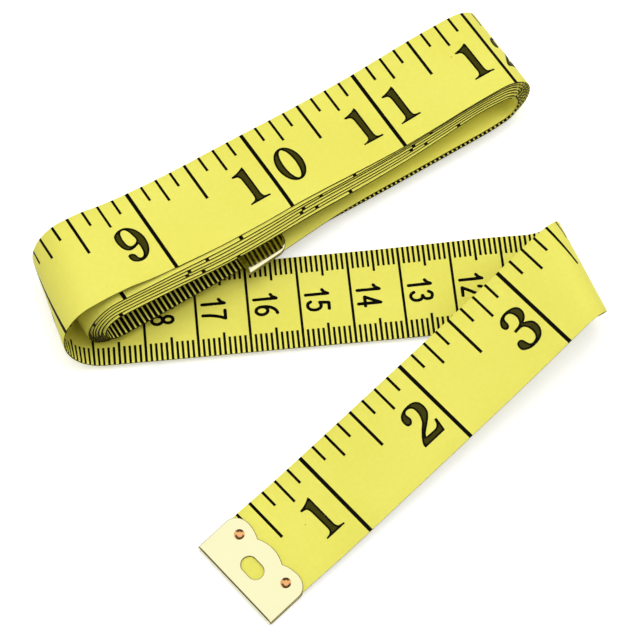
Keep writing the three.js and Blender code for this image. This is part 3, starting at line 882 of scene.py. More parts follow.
# %% Draw the bold numerals
BOLD_OUTLINES = {
    "0": (["oval 2.75 4.1 2.7 4.2"], ["oval 2.75 4.1 1.2 3.65"]),
    "1": (["0.2 7.25 0.3 7.5! 1.3 7.7 2.25 8.05 3.05 8.5! 3.2 8.0! 3.2 1.5! 3.35 0.8 3.7 0.5 "
           "4.6 0.35! 4.65 0.0! 0.3 0.0! 0.3 0.3! 0.9 0.42 1.4 0.65 1.65 1.1 1.7 1.7! "
           "1.62 5.8! 1.45 6.6 1.05 6.95 0.5 7.05"], []),
    "2": (["0.0 6.3 0.15 7.0 0.55 7.6 1.05 7.95 1.7 8.2 2.4 8.3 3.25 8.3 4.0 8.1 4.55 7.75 "
           "4.95 7.15 5.1 6.3 5.05 5.5 4.85 4.85 4.5 4.35 3.95 3.8 3.1 3.1 2.4 2.6 1.9 2.2 "
           "1.5 1.8 1.3 1.45! 1.75 1.42 2.55 1.4 3.4 1.4 3.9 1.55 4.25 1.9 4.45 2.35 4.6 2.85! "
           "5.1 2.8! 5.05 2.2 4.9 1.3 4.75 0.5 4.65 0.0! -0.25 0.0! -0.3 0.35 -0.15 0.85 "
           "0.25 1.5 0.7 2.1 1.2 2.65 1.7 3.2 2.25 3.7 2.7 4.2 2.95 4.75 3.2 5.4 3.3 6.0 "
           "3.3 6.75 3.15 7.2 2.9 7.5 2.5 7.7 2.1 7.72 1.8 7.6 1.55 7.2 1.58 6.65 1.65 6.0 "
           "1.35 5.4 0.85 5.1 0.3 5.25 0.05 5.65"], []),
    "3": (["0.3 6.7 0.5 7.3 1.0 7.9 1.5 8.2 2.15 8.4 3.0 8.45 3.85 8.3 4.6 8.0 5.05 7.6 "
           "5.3 7.1 5.35 6.4 5.2 5.8 4.85 5.25 4.4 4.85 3.9 4.6! 4.35 4.35 4.85 4.0 5.25 3.55 "
           "5.45 2.9 5.45 2.25 5.3 1.55 4.9 0.85 4.35 0.35 3.65 0.05 2.95 -0.1 2.1 -0.1 "
           "1.35 0.0 0.65 0.3 0.1 0.7 -0.15 1.2 -0.12 1.8 0.05 2.3 0.4 2.6 0.8 2.65 1.25 2.45 "
           "1.5 2.0 1.65 1.35 1.85 0.8 2.25 0.55 2.8 0.6 3.3 0.8 3.6 1.15 3.8 1.7 3.85 2.35 "
           "3.75 3.1 3.5 3.65 3.15 3.98 2.65 4.1 2.0 4.08! 1.42 4.06! 1.42 4.66! 2.15 4.7 "
           "2.75 4.8 3.15 5.0 3.45 5.4 3.65 6.0 3.65 6.65 3.5 7.2 3.25 7.6 2.8 7.85 2.3 7.85 "
           "1.95 7.65 1.75 7.2 1.75 6.65 1.6 6.1 1.2 5.75 0.7 5.8 0.4 6.15"], []),
    "4": (["3.0 8.3! 4.3 8.3! 4.3 2.9! 5.3 2.9! 5.3 1.9! 4.3 1.9! 4.3 1.05 4.5 0.6 5.1 0.42! "
           "5.1 0.0! 1.7 0.0! 1.7 0.42! 2.4 0.6 2.7 1.05 2.75 1.9! -0.1 1.9! -0.1 2.7!"],
          ["2.75 6.7! 2.75 2.9! 0.75 2.9!"]),
    "5": (["0.9 8.3! 2.5 8.05 4.6 8.3! 4.85 8.0 4.5 7.0 3.6 6.6 2.4 6.7 1.35 7.0! 1.2 5.0! "
           "2.1 5.5 3.2 5.55 4.3 5.15 5.05 4.2 5.25 3.0 5.05 1.8 4.3 0.6 3.0 -0.1 1.6 -0.1 "
           "0.5 0.4 -0.05 1.2 0.1 2.1 0.8 2.5 1.45 2.2 1.6 1.5 1.6 0.9 2.1 0.5 2.8 0.6 "
           "3.4 1.3 3.65 2.6 3.5 3.9 3.0 4.7 2.2 4.85 1.45 4.45 1.1 3.95! 0.6 3.95!"], []),
    "7": (["0.15 8.3! 0.55 8.15 5.1 8.3! 5.2 7.7! 4.3 6.0 3.6 4.2 3.3 2.2 3.25 0.0! 1.6 0.0! "
           "1.75 2.2 2.4 4.2 3.5 6.0 4.1 6.9! 1.8 6.95 0.9 6.75 0.55 6.0! 0.1 6.0!"], []),
    "8": (["oval 2.6 6.15 2.1 2.1", "oval 2.6 2.25 2.55 2.35"],
          ["oval 2.6 6.3 0.95 1.55", "oval 2.6 2.1 1.15 1.75"]),
    "9": (["0.15 7.2 0.7 7.75 1.3 8.1 2.0 8.3 2.75 8.3 3.4 8.05 4.0 7.6 4.55 6.95 5.0 6.05 "
           "5.25 5.05 5.3 4.0 5.15 2.95 4.85 2.0 4.35 1.15 3.75 0.55 3.05 0.15 2.35 0.0 "
           "1.6 0.1 1.0 0.35 0.55 0.8 0.35 1.45 0.4 2.05 0.7 2.3 1.2 2.3 1.6 2.1 1.85 1.65 "
           "2.0 1.05 2.3 0.75 2.75 0.8 3.1 1.1 3.35 1.65 3.5 2.4 3.52 3.2 3.48 3.7! 3.05 3.5 "
           "2.5 3.25 1.85 3.1 1.25 3.15 0.7 3.5 0.25 4.15 0.0 5.05 -0.08 5.95 0.0 6.7"],
          ["1.6 7.35 1.95 7.75 2.45 7.85 2.9 7.55 3.25 6.8 3.45 5.9 3.6 5.1 3.5 4.6 3.05 4.15 "
           "2.5 3.92 2.0 3.95 1.6 4.3 1.42 4.9 1.35 5.7 1.4 6.5"]),
}


def oval(middle_x, middle_y, radius_x, radius_y, count=36):
    turns = [2 * math.pi * k / count for k in range(count)]
    return [(middle_x + radius_x * math.cos(turn), middle_y + radius_y * math.sin(turn))
            for turn in turns]


def traced(text, step=0.3):
    """The points of an outline's smooth curve, about a step apart. The curve leaves each
    knot in the direction of its neighbours, and bends freely next to a corner."""
    if text.startswith("oval"):
        return oval(*[float(word) for word in text.split()[1:]])
    words = text.split()
    knots = [(float(x), float(y.strip("!")), y.endswith("!"))
             for x, y in zip(words[0::2], words[1::2])]
    points = []
    for index, (x, y, corner) in enumerate(knots):
        before, after = knots[index - 1], knots[(index + 1) % len(knots)]
        beyond = knots[(index + 2) % len(knots)]
        leaving = (0, 0) if corner else ((after[0] - before[0]) / 2, (after[1] - before[1]) / 2)
        arriving = (0, 0) if after[2] else ((beyond[0] - x) / 2, (beyond[1] - y) / 2)
        span = (after[0] - x, after[1] - y)
        if corner and not after[2]:
            leaving = (span[0] * 1.5 - arriving[0] / 2, span[1] * 1.5 - arriving[1] / 2)
        if after[2] and not corner:
            arriving = (span[0] * 1.5 - leaving[0] / 2, span[1] * 1.5 - leaving[1] / 2)
        if corner and after[2]:
            leaving = arriving = span
        count = max(1, round(math.hypot(*span) / step))
        for part in range(count):
            t = part / count
            a, b = 2 * t ** 3 - 3 * t ** 2 + 1, t ** 3 - 2 * t ** 2 + t
            c, d = -2 * t ** 3 + 3 * t ** 2, t ** 3 - t ** 2
            points.append((a * x + b * leaving[0] + c * after[0] + d * arriving[0],
                           a * y + b * leaving[1] + c * after[1] + d * arriving[1]))
    return points


BOLD_SHAPES = {digit: ([traced(text) for text in solids], [traced(text) for text in holes])
               for digit, (solids, holes) in BOLD_OUTLINES.items()}
# A 6 is a 9 turned by half a round
NINE_WIDTH, NINE_HEIGHT = 5.2, 8.2


def turned_over(loops):
    return [[(NINE_WIDTH - x, NINE_HEIGHT - y) for x, y in loop] for loop in loops]


BOLD_SHAPES["6"] = tuple(turned_over(loops) for loops in BOLD_SHAPES["9"])
print("bold numerals:", "".join(sorted(BOLD_SHAPES)))

# %% [markdown]
# A thin numeral is a pen stroke of one width, so it is drawn by its middle line, and the
# outline is set off from that line on both sides.

# %% Draw the thin numerals
PEN_LINES = {
    "0": ["ring 1.2 2.4 0.92 2.15"],
    "1": ["1.45 0.0 1.45 4.6", "0.45 3.45 1.0 3.85 1.4 4.55"],
    "2": ["0.3 3.7 0.5 4.35 1.15 4.65 1.8 4.45 2.05 3.8 1.8 2.9 1.1 1.7 0.3 0.3",
          "0.3 0.27 2.15 0.27"],
    "3": ["0.3 3.95 0.65 4.5 1.2 4.65 1.8 4.4 2.0 3.7 1.75 3.0 1.1 2.65",
          "1.1 2.65 1.85 2.4 2.15 1.6 1.95 0.7 1.3 0.25 0.6 0.35 0.2 0.95"],
    "4": ["1.7 0.0 1.7 4.6", "1.65 4.5 0.9 2.9 0.2 1.45", "0.15 1.4 2.3 1.4"],
    "5": ["0.65 4.6 2.1 4.6", "0.65 4.6 0.45 2.75",
          "0.45 2.75 1.1 3.0 1.8 2.7 2.15 1.8 1.95 0.75 1.3 0.25 0.6 0.35 0.2 0.9"],
    "6": ["ring 1.2 1.45 0.92 1.2", "0.28 1.6 0.35 2.7 0.75 3.7 1.35 4.35 1.95 4.6"],
    "7": ["0.2 4.6 2.1 4.6", "2.1 4.6 1.55 3.2 1.2 1.6 1.1 0.0"],
    "8": ["ring 1.2 1.35 0.95 1.1", "ring 1.2 3.6 0.78 0.98"],
    "9": ["ring 1.2 3.4 0.92 1.2", "2.12 3.25 2.05 2.15 1.65 1.15 1.05 0.5 0.45 0.25"],
}
# The pen's width, and how far the numerals are narrowed and lowered
PEN, PEN_WIDE, PEN_TALL = 0.65, 0.92, 0.94
PEN_PARTS, CAP_ANGLES = 4, (60, 20, -20, -60)


def pen_stroke(words):
    knots = np.array(words).reshape(-1, 2)
    if len(knots) > 2:
        spans = len(knots) - 1
        fine_places = np.linspace(0, spans, PEN_PARTS * spans + 1)
        padded = np.vstack([2 * knots[0] - knots[1], knots, 2 * knots[-1] - knots[-2]])
        fine_knots = []
        for place in fine_places:
            index = min(int(place), spans - 1)
            t = place - index
            p0, p1, p2, p3 = padded[index:index + 4]
            fine_knots.append(0.5 * (2 * p1 + (p2 - p0) * t + (2 * p0 - 5 * p1 + 4 * p2 - p3)
                                     * t ** 2 + (3 * p1 - p0 - 3 * p2 + p3) * t ** 3))
        knots = np.array(fine_knots)
    direction = np.gradient(knots, axis=0)
    direction /= np.linalg.norm(direction, axis=1, keepdims=True)
    aside = np.stack([-direction[:, 1], direction[:, 0]], axis=1) * PEN / 2

    def cap(middle, facing):
        turns = [math.radians(angle) for angle in CAP_ANGLES]
        return [(middle[0] + PEN / 2 * (facing[0] * math.cos(t) - facing[1] * math.sin(t)),
                 middle[1] + PEN / 2 * (facing[1] * math.cos(t) + facing[0] * math.sin(t)))
                for t in turns]

    left, right = (knots + aside).tolist(), (knots - aside).tolist()
    return ([tuple(p) for p in left] + cap(knots[-1], direction[-1])
            + [tuple(p) for p in right[::-1]] + cap(knots[0], -direction[0]))


def pen_shape(lines):
    solids, holes = [], []
    for text in lines:
        words = text.split()
        ring = words[0] == "ring"
        sizes = [float(word) for word in words[ring:]]
        sizes = [size * (PEN_TALL if k % 2 else PEN_WIDE) for k, size in enumerate(sizes)]
        if ring:
            x, y, rx, ry = sizes
            solids.append(oval(x, y, rx + PEN / 2, ry + PEN / 2, 26))
            holes.append(oval(x, y, rx - PEN / 2, ry - PEN / 2, 20))
        else:
            solids.append(pen_stroke(sizes))
    return solids, holes


THIN_SHAPES = {digit: pen_shape(lines) for digit, lines in PEN_LINES.items()}
print("thin numerals:", "".join(sorted(THIN_SHAPES)))


# %% [markdown]
# To fill an outline, Blender's own 2D triangulation takes the loops as fixed edges, plus a
# lattice of points inside, so that the ink can bend. A triangle is kept when its middle is
# in a solid loop and in no hole. Strokes may then cross each other freely. Each corner also
# keeps how far it is from the numeral's rim, which the ink's material reads.

# %% Fill an outline with triangles
BOLD_LATTICE, NO_LATTICE = 0.34, 0.0
# A lattice point is left out where it would be nearer to the rim than this share of a step
RIM_ROOM = 0.45
SAME_POINT = 1e-4


def inside(points, loop):
    """A point is inside where a line from it to the right crosses the loop an odd number
    of times."""
    loop = np.asarray(loop)
    x, y = points[:, 0][:, None], points[:, 1][:, None]
    x0, y0 = loop[:, 0], loop[:, 1]
    x1, y1 = np.roll(x0, -1), np.roll(y0, -1)
    crosses = (y0 > y) != (y1 > y)
    with np.errstate(divide="ignore", invalid="ignore"):
        reach = (x1 - x0) * (y - y0) / (y1 - y0) + x0
    return (np.sum(crosses & (x < reach), axis=1) % 2) == 1


def rim_distance(points, starts, ends):
    """How far each point is from the nearest of the lines between starts and ends."""
    span = ends - starts
    rel = points[:, None, :] - starts[None]
    share = np.clip(np.sum(rel * span, axis=2) / np.maximum(np.sum(span * span, axis=1), 1e-12),
                    0.0, 1.0)
    return np.min(np.linalg.norm(rel - share[:, :, None] * span, axis=2), axis=1)


def filled(solids, holes, lattice):
    """The triangles between the loops, their rim, and each corner's distance from it."""
    points, edges = [], []
    for loop in solids + holes:
        first = len(points)
        points += [Vector(point) for point in loop]
        edges += [(first + k, first + (k + 1) % len(loop)) for k in range(len(loop))]
    if lattice:
        flat = np.array([tuple(point) for point in points])
        low, high = flat.min(axis=0), flat.max(axis=0)
        grid = np.array([(x, y) for x in np.arange(low[0], high[0], lattice)
                         for y in np.arange(low[1], high[1], lattice)])
        starts = np.array([flat[a] for a, b in edges])
        ends = np.array([flat[b] for a, b in edges])
        grid = grid[rim_distance(grid, starts, ends) > lattice * RIM_ROOM]
        points += [Vector(point) for point in grid.tolist()]
    corners, _, faces, *_ = delaunay_2d_cdt(points, edges, [], 0, SAME_POINT)
    corners = np.array([tuple(corner) for corner in corners])
    faces = np.array(faces)
    middles = corners[faces].mean(axis=1)
    kept = np.any([inside(middles, loop) for loop in solids], axis=0)
    for loop in holes:
        kept &= ~inside(middles, loop)
    faces = faces[kept]
    used, faces = np.unique(faces, return_inverse=True)
    corners, faces = corners[used], faces.reshape(-1, 3)
    sides = np.concatenate([faces[:, [0, 1]], faces[:, [1, 2]], faces[:, [2, 0]]])
    seen = dict.fromkeys((a, b) for a, b in sides.tolist())
    rim = np.array([(a, b) for a, b in seen if (b, a) not in seen])
    return {"corners": corners, "faces": faces, "rim": rim,
            "depth": rim_distance(corners, corners[rim[:, 0]], corners[rim[:, 1]])}


BOLD = {digit: filled(*shape, BOLD_LATTICE) for digit, shape in BOLD_SHAPES.items()}
THIN = {digit: filled(*shape, NO_LATTICE) for digit, shape in THIN_SHAPES.items()}
for name, shapes in (("bold 2", BOLD["2"]), ("thin 8", THIN["8"])):
    print("%s: %d triangles" % (name, len(shapes["faces"])))

# %% [markdown]
# The rows of the ribbon also serve as a table: any distance and place across can be looked
# up between them. A numeral's corner is looked up there, moved out along the face, and so
# follows every bend.


# %% Bend flat shapes onto the tape
def on_tape(along, inward, lift):
    """Points at these places, a lift in millimetres off the ribbon's middle."""
    row = np.clip(np.searchsorted(tape_distance, along) - 1, 0, len(tape_distance) - 2)
    row_share = (along - tape_distance[row]) / (tape_distance[row + 1] - tape_distance[row])
    across = inward - WIDTH / 2
    column = np.clip(np.searchsorted(COLUMNS, across) - 1, 0, len(COLUMNS) - 2)
    column_share = (across - COLUMNS[column]) / (COLUMNS[column + 1] - COLUMNS[column])

    def between(table):
        near = mix(table[row, column], table[row, column + 1], column_share[:, None])
        far = mix(table[row + 1, column], table[row + 1, column + 1], column_share[:, None])
        return mix(near, far, row_share[:, None])

    return between(tape_middle) + between(tape_face) * lift


INK_ABOVE, INK_BELOW = 0.02, 0.05


class InkSheet:
    """The numerals of one stretch, gathered into one mesh of thin closed slabs."""

    def __init__(self, name, stretch, material):
        self.name, self.stretch, self.material = name, stretch, material
        self.corners, self.faces, self.depth = [], [], []

    def add(self, shape, along, inward, face):
        surface = SHEET_THICKNESS / 2
        outer = on_tape(along, inward, face * (surface + INK_ABOVE))
        inner = on_tape(along, inward, face * (surface - INK_BELOW))
        first, count = sum(len(part) for part in self.corners), len(outer)
        self.corners += [outer, inner]
        self.depth += [shape["depth"], shape["depth"]]
        for a, b, c in (shape["faces"] + first).tolist():
            self.faces += [(a, b, c), (c + count, b + count, a + count)]
        for a, b in (shape["rim"] + first).tolist():
            self.faces.append((b, a, a + count, b + count))

    def make(self):
        mesh = bpy.data.meshes.new(self.name)
        mesh.from_pydata((np.concatenate(self.corners) * MM).tolist(), [], self.faces)
        face_outward(mesh)
        depth = mesh.attributes.new("rim_depth", "FLOAT", "POINT")
        depth.data.foreach_set("value", np.concatenate(self.depth).astype(np.float32))
        mesh.materials.append(self.material)
        mesh.update()
        piece = place_mesh(self.name, mesh)
        hold(piece, self.stretch)
        return piece


print("ink stands %.2f mm off the tape" % INK_ABOVE)

# %% [markdown]
# The bold numerals' ink is black along the rim and dark olive within, as if the yellow
# shone through a thinner coat. The thin numerals are black all over. Both have the slight
# unevenness of printing.


# %% Make the inks
PATCHY_SCALE = 1400.0
RIM_INK, RIM_BLUR, RIM_RAGGED = 0.36, 0.06, 0.12
INK_ROUGHNESS, INK_ROUGHNESS_SPREAD = 0.4, 0.2


def ink_finish(name, middle):
    material, tree, shader = new_material(name)
    place = tree.nodes.new("ShaderNodeTexCoord")
    patchy = noise(tree, place.outputs["Object"], PATCHY_SCALE)
    depth = tree.nodes.new("ShaderNodeAttribute")
    depth.attribute_name = "rim_depth"
    uneven = math_node(tree, "MULTIPLY_ADD", patchy, RIM_RAGGED, -RIM_RAGGED / 2)
    ragged = math_node(tree, "ADD", depth.outputs["Fac"], uneven)
    rim = soft_step(tree, ragged, RIM_INK, RIM_BLUR)
    tree.links.new(mixed(tree, rim, middle, INK_COLOUR), shader.inputs["Base Color"])
    roughness = math_node(tree, "MULTIPLY_ADD", patchy, INK_ROUGHNESS_SPREAD, INK_ROUGHNESS)
    tree.links.new(roughness, shader.inputs["Roughness"])
    shader.inputs["Specular IOR Level"].default_value = 0.03
    return material


bold_ink = ink_finish("bold_ink", (0.050, 0.045, 0.005, 1))
thin_ink = ink_finish("thin_ink", (0.004, 0.0035, 0.002, 1))
print("inks:", bold_ink.name, thin_ink.name)

# %% [markdown]
# Each inch numeral stands before its line, and the second numeral of a pair stands after
# it. Each centimetre numeral lies before its line. Deep inside the winding nobody can see
# a numeral, so they are printed only as far as the tape's outer round, and again on the
# last stretch that the open end of the winding shows.

# %% Print the numerals
BASELINE, DIGIT_OFFSETS = 15.15, {1: (-7.15,), 2: (-6.8, 1.75)}
METRIC_BASE, METRIC_MIDDLE, METRIC_ADVANCE, METRIC_BEARING = 1.25, 9.65, 2.7, 0.27
CENTIMETRE = 10.0
OUTER_ROUND, INNER_ROUNDS_SHOWN = 440.0, 190.0
# A numeral belongs to the stretch under its far side, give or take the ink on the seam
SEAM_INK = 0.3
# The start clip covers the tape so far
CLIP_COVER = 10.0
inch_sheets = {name: InkSheet(name.replace("cloth", "inch_numerals"), name, bold_ink)
               for name in STRETCHES}
metric_sheets = {name: InkSheet(name.replace("cloth", "metric_numerals"), name, thin_ink)
                 for name in STRETCHES}


def stretch_at(distance):
    for name, (start, stop) in STRETCHES.items():
        if distance <= stop:
            return name
    return name


for number in range(1, int(OUTER_ROUND / INCH) + 1):
    line = number * INCH
    for digit, offset in zip(str(number), DIGIT_OFFSETS[len(str(number))]):
        shape = BOLD[digit]
        along = line + offset + shape["corners"][:, 0]
        inward = BASELINE - shape["corners"][:, 1]
        inch_sheets[stretch_at(along.max() - SEAM_INK)].add(shape, along, inward, 1)

for number in range(1, int(METRIC_SCALE_END / CENTIMETRE)):
    line = number * CENTIMETRE
    if OUTER_ROUND < line < METRIC_SCALE_END - INNER_ROUNDS_SHOWN:
        continue
    digits = str(number)
    left = METRIC_MIDDLE - METRIC_ADVANCE * len(digits) / 2 + METRIC_BEARING
    for index, digit in enumerate(digits):
        shape = THIN[digit]
        along = line - METRIC_BASE - shape["corners"][:, 1]
        inward = left + METRIC_ADVANCE * index + shape["corners"][:, 0]
        if along.min() > CLIP_TIP + CLIP_COVER:
            metric_sheets[stretch_at(along.max() - SEAM_INK)].add(shape, along, inward, -1)

for sheet in list(inch_sheets.values()) + list(metric_sheets.values()):
    if sheet.corners:
        piece = sheet.make()
        print("%s: %d faces" % (piece.name, len(piece.data.polygons)))

# %% [markdown]
# ## The clips
# A clip is one thin plate folded round the end of the tape, with three lobes on its inner
# edge. It could be two plates and a half pipe joined together, but the real one is a single
# blank that is stamped and folded, and so is this one: the blank is drawn flat, filled with
# triangles, and rolled round the fold. A small bevel then takes the sharpness off its rim.

# %% Draw the blank
CLIP_OUTSIDE, PLATE = 0.6, 0.25
CLIP_SIDE, CLIP_LOBE, CLIP_MIDDLE, CLIP_NOTCH = 7.3, 9.95, 10.0, 9.15
HALF_WIDTH, LOBE_SIDE, NOTCH_SIDE, CORNER_SHARE = 9.95, 6.75, 3.4, 0.55
CURVE_PARTS, SIDE_PARTS = 10, 39
FOLD_RADIUS = CLIP_OUTSIDE - PLATE / 2
FOLD_HALF = FOLD_RADIUS * math.pi / 2


def bezier(*knots):
    points = []
    for t in np.linspace(0, 1, CURVE_PARTS + 1)[:-1]:
        level = [np.array(knot, dtype=float) for knot in knots]
        while len(level) > 1:
            level = [mix(a, b, t) for a, b in zip(level, level[1:])]
        points.append(tuple(level[0]))
    return points


def lobed_edge():
    """The inner edge of one plate, from its front side to its back side."""
    corner_long = mix(CLIP_SIDE, CLIP_LOBE, CORNER_SHARE)
    corner_wide = mix(LOBE_SIDE, HALF_WIDTH, CORNER_SHARE)
    inner_wide = mix(LOBE_SIDE, NOTCH_SIDE, CORNER_SHARE)
    bulge = 2 * CLIP_MIDDLE - CLIP_NOTCH
    edge = bezier((CLIP_SIDE, -HALF_WIDTH), (corner_long, -HALF_WIDTH),
                  (CLIP_LOBE, -corner_wide), (CLIP_LOBE, -LOBE_SIDE))
    edge += bezier((CLIP_LOBE, -LOBE_SIDE), (CLIP_LOBE, -inner_wide), (CLIP_NOTCH, -NOTCH_SIDE))
    middle_lobe = bezier((CLIP_NOTCH, -NOTCH_SIDE), (bulge, 0.0), (CLIP_NOTCH, NOTCH_SIDE))
    half = edge + middle_lobe[:CURVE_PARTS // 2 + 1]
    return half + [(x, -y) for x, y in half[::-1][1:]]


def unrolled(x):
    return x - CLIP_OUTSIDE + FOLD_HALF


def blank_outline():
    upper = [(unrolled(x), y) for x, y in lobed_edge()]
    places = np.linspace(upper[0][0], -upper[0][0], SIDE_PARTS + 1)[1:-1]
    side = [(u, HALF_WIDTH) for u in places]
    lower = [(-u, y) for u, y in upper[::-1]]
    return upper + side + lower + [(u, -HALF_WIDTH) for u, _ in side[::-1]]


def rolled_plate(u, y, lift):
    """A point of the blank after folding, a lift off the plate's middle."""
    turn = np.clip(u / FOLD_RADIUS, -math.pi / 2, math.pi / 2)
    flat = np.maximum(np.abs(u) - FOLD_HALF, 0.0)
    radius = FOLD_RADIUS + lift
    along = CLIP_OUTSIDE - radius * np.cos(turn) + flat
    return np.stack([along, y, radius * np.sin(turn)], axis=1)


print("blank: %d points round its outline" % len(blank_outline()))

# %% [markdown]
# Each clip sits in its own frame at the tip of its end of the tape. The frame comes from
# the same rule that bends the ribbon, so the plates lie level with the cloth.


# %% Where the clips sit
def clip_frame(tip, inward, aside):
    """The tip, and three directions: along the tape, across it, and up from its face."""
    along = (inward - tip) / np.linalg.norm(inward - tip)
    face = np.cross(aside - tip, along)
    face /= np.linalg.norm(face)
    return tip + FRAME_SHIFT, np.stack([along, np.cross(face, along), face])


on_middle, on_edge = np.array([0.0]), np.array([WIDTH / 2])
start_place = clip_frame(ribbon_row(0.0, on_middle)[0], ribbon_row(CLIP_MIDDLE, on_middle)[0],
                         ribbon_row(0.0, on_edge)[0])
end_tip = TAIL_END - CLIP_OUTSIDE
end_place = clip_frame(under_row(TAIL_LAYER, end_tip, on_middle)[0],
                       under_row(TAIL_LAYER, end_tip + CLIP_MIDDLE, on_middle)[0],
                       under_row(TAIL_LAYER, end_tip, on_edge)[0])


def in_frame(points, place):
    tip, axes = place
    return tip + points @ axes


print("start clip's tip:", start_place[0].round(2), "end clip's tip:", end_place[0].round(2))

# %% [markdown]
# The plating is bright, pale gold. It is smooth but not perfect: fine rub marks run along
# it, and it is a little warmer in places. The plate's stamped rim is painted a dull, dark
# brown: partly the raw cut metal, partly painted shade, so that a dark line draws each lobe.
# The rivets are copper. All three share the same rub marks, so these are a group.

# %% Group: rub marks on metal
CLOUD_SCALE, HAIR_SCALE, HAIR_STRETCH, HAIR_TURN = 90.0, 260.0, 14.0, 35
HAIR_ROUGHNESS = 0.12

rub_marks, given, made = new_group(
    "rub_marks",
    [("Place", VECTOR, None), ("Clean", COLOR, (0.98, 0.94, 0.6, 1)),
     ("Worn", COLOR, (0.9, 0.8, 0.4, 1)), ("Amount", FLOAT, 0.3),
     ("Least Roughness", FLOAT, 0.2)],
    [("Color", COLOR), ("Roughness", FLOAT), ("Height", FLOAT)])
tree = rub_marks
cloud = noise(tree, given["Place"], CLOUD_SCALE)
worn = math_node(tree, "MULTIPLY", cloud, given["Amount"], clamp=True)
tree.links.new(mixed(tree, worn, given["Clean"], given["Worn"]), made["Color"])
stretched = tree.nodes.new("ShaderNodeMapping")
stretched.inputs["Scale"].default_value = (1.0, HAIR_STRETCH, 1.0)
stretched.inputs["Rotation"].default_value = (0.0, 0.0, math.radians(HAIR_TURN))
tree.links.new(given["Place"], stretched.inputs["Vector"])
hairs = noise(tree, stretched.outputs["Vector"], HAIR_SCALE, 3.0)
roughness = math_node(tree, "MULTIPLY_ADD", hairs, HAIR_ROUGHNESS, given["Least Roughness"])
tree.links.new(roughness, made["Roughness"])
tree.links.new(hairs, made["Height"])
print("group rub_marks:", len(tree.nodes), "nodes")

# %% [markdown]
# The three metals differ only in their colours, in how worn they are, and in how smooth.

# %% Make the metals
def metal_finish(name, clean, worn, amount, least_roughness):
    material, tree, shader = new_material(name)
    place = tree.nodes.new("ShaderNodeTexCoord")
    marks = place_group(tree, rub_marks, Place=place.outputs["Object"], Clean=clean, Worn=worn,
                        Amount=amount, Least_Roughness=least_roughness)
    tree.links.new(marks["Color"], shader.inputs["Base Color"])
    tree.links.new(marks["Roughness"], shader.inputs["Roughness"])
    bump_on(tree, shader, marks["Height"], 0.02, 0.01 * MM)
    shader.inputs["Metallic"].default_value = 1.0
    return material


gilded = metal_finish("gilded_plate", (0.74, 0.712, 0.45, 1), (0.71, 0.65, 0.34, 1),
                      amount=0.3, least_roughness=0.05)
# Painted shade: the rim is a dull dark brown, partly raw cut metal, partly shade drawn round
# each lobe.
plate_rim_and_shade = metal_finish("gilded_plate_rim_painted_shade", (0.22, 0.19, 0.07, 1), (0.07, 0.06, 0.015, 1),
                         amount=0.5, least_roughness=0.3)
copper = metal_finish("copper_rivet", (0.80, 0.42, 0.17, 1), (0.40, 0.16, 0.05, 1),
                      amount=0.5, least_roughness=0.12)
print("metals:", gilded.name, plate_rim_and_shade.name, copper.name)

# %% [markdown]
# The start clip has a slot for hanging, cut through both plates, with the tape showing
# yellow behind it. Both clips have two rivet holes. The end clip has no slot in view and
# none is cut. No rivet of it is in view either, so its two sit nearer the middle, under the
# cloth.

# %% Build the clips
SLOT_PLACE, SLOT_LENGTH, SLOT_WIDTH = 4.8, 4.9, 3.1
RIVET_PLACE, START_RIVET_SIDE, END_RIVET_SIDE = 7.3, 6.375, 5.7
RIVET_HOLE, HOLE_PARTS, SLOT_PARTS, PLATE_LATTICE = 0.7, 20, 32, 0.6
RIM_BEVEL, RIM_ANGLE, METAL_SHARP = 0.1, 60, 50


def slot_hole(side):
    """An oblong hole, half a part out of step, so that no corner lies on its middle line."""
    radius, reach = SLOT_WIDTH / 2, (SLOT_LENGTH - SLOT_WIDTH) / 2
    points = []
    for k in range(SLOT_PARTS):
        turn = 2 * math.pi * (k + 0.5) / SLOT_PARTS
        y = radius * math.sin(turn) + math.copysign(reach, math.sin(turn))
        points.append((side * unrolled(SLOT_PLACE) + radius * math.cos(turn), y))
    return points


def clip_piece(name, place, body, has_slot, rivet_side, node):
    holes = [oval(side * unrolled(RIVET_PLACE), y, RIVET_HOLE, RIVET_HOLE, HOLE_PARTS)
             for side in (-1, 1) for y in (-rivet_side, rivet_side)]
    if has_slot:
        holes += [slot_hole(side) for side in (-1, 1)]
    shape = filled([blank_outline()], holes, PLATE_LATTICE)
    u, y = shape["corners"].T
    outer = in_frame(rolled_plate(u, y, PLATE / 2), place)
    inner = in_frame(rolled_plate(u, y, -PLATE / 2), place)
    count = len(outer)
    faces = []
    for a, b, c in shape["faces"].tolist():
        faces += [(a, b, c), (c + count, b + count, a + count)]
    faces += [(b, a, a + count, b + count) for a, b in shape["rim"].tolist()]
    mesh = bpy.data.meshes.new(name)
    mesh.from_pydata((np.concatenate([outer, inner]) * MM).tolist(), [], faces)
    # Rim faces, and the bevel after them, take the second finish: the rim painted dark, partly
    # as shade.
    mesh.polygons.foreach_set("material_index", [int(len(face) == 4) for face in faces])
    work = bmesh.new()
    work.from_mesh(mesh)
    bmesh.ops.recalc_face_normals(work, faces=work.faces)
    rims = [edge for edge in work.edges
            if edge.is_manifold and edge.calc_face_angle() > math.radians(RIM_ANGLE)]
    bmesh.ops.bevel(work, geom=rims, offset=RIM_BEVEL * MM, segments=2, profile=0.5,
                    affect="EDGES", clamp_overlap=True, material=1)
    work.to_mesh(mesh)
    work.free()
    shade_smooth(mesh, METAL_SHARP)
    mesh.materials.append(gilded)
    mesh.materials.append(plate_rim_and_shade)
    piece = place_mesh(name, mesh)
    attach(piece, body)
    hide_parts(node)
    print("%s: %d faces" % (name, len(mesh.polygons)))


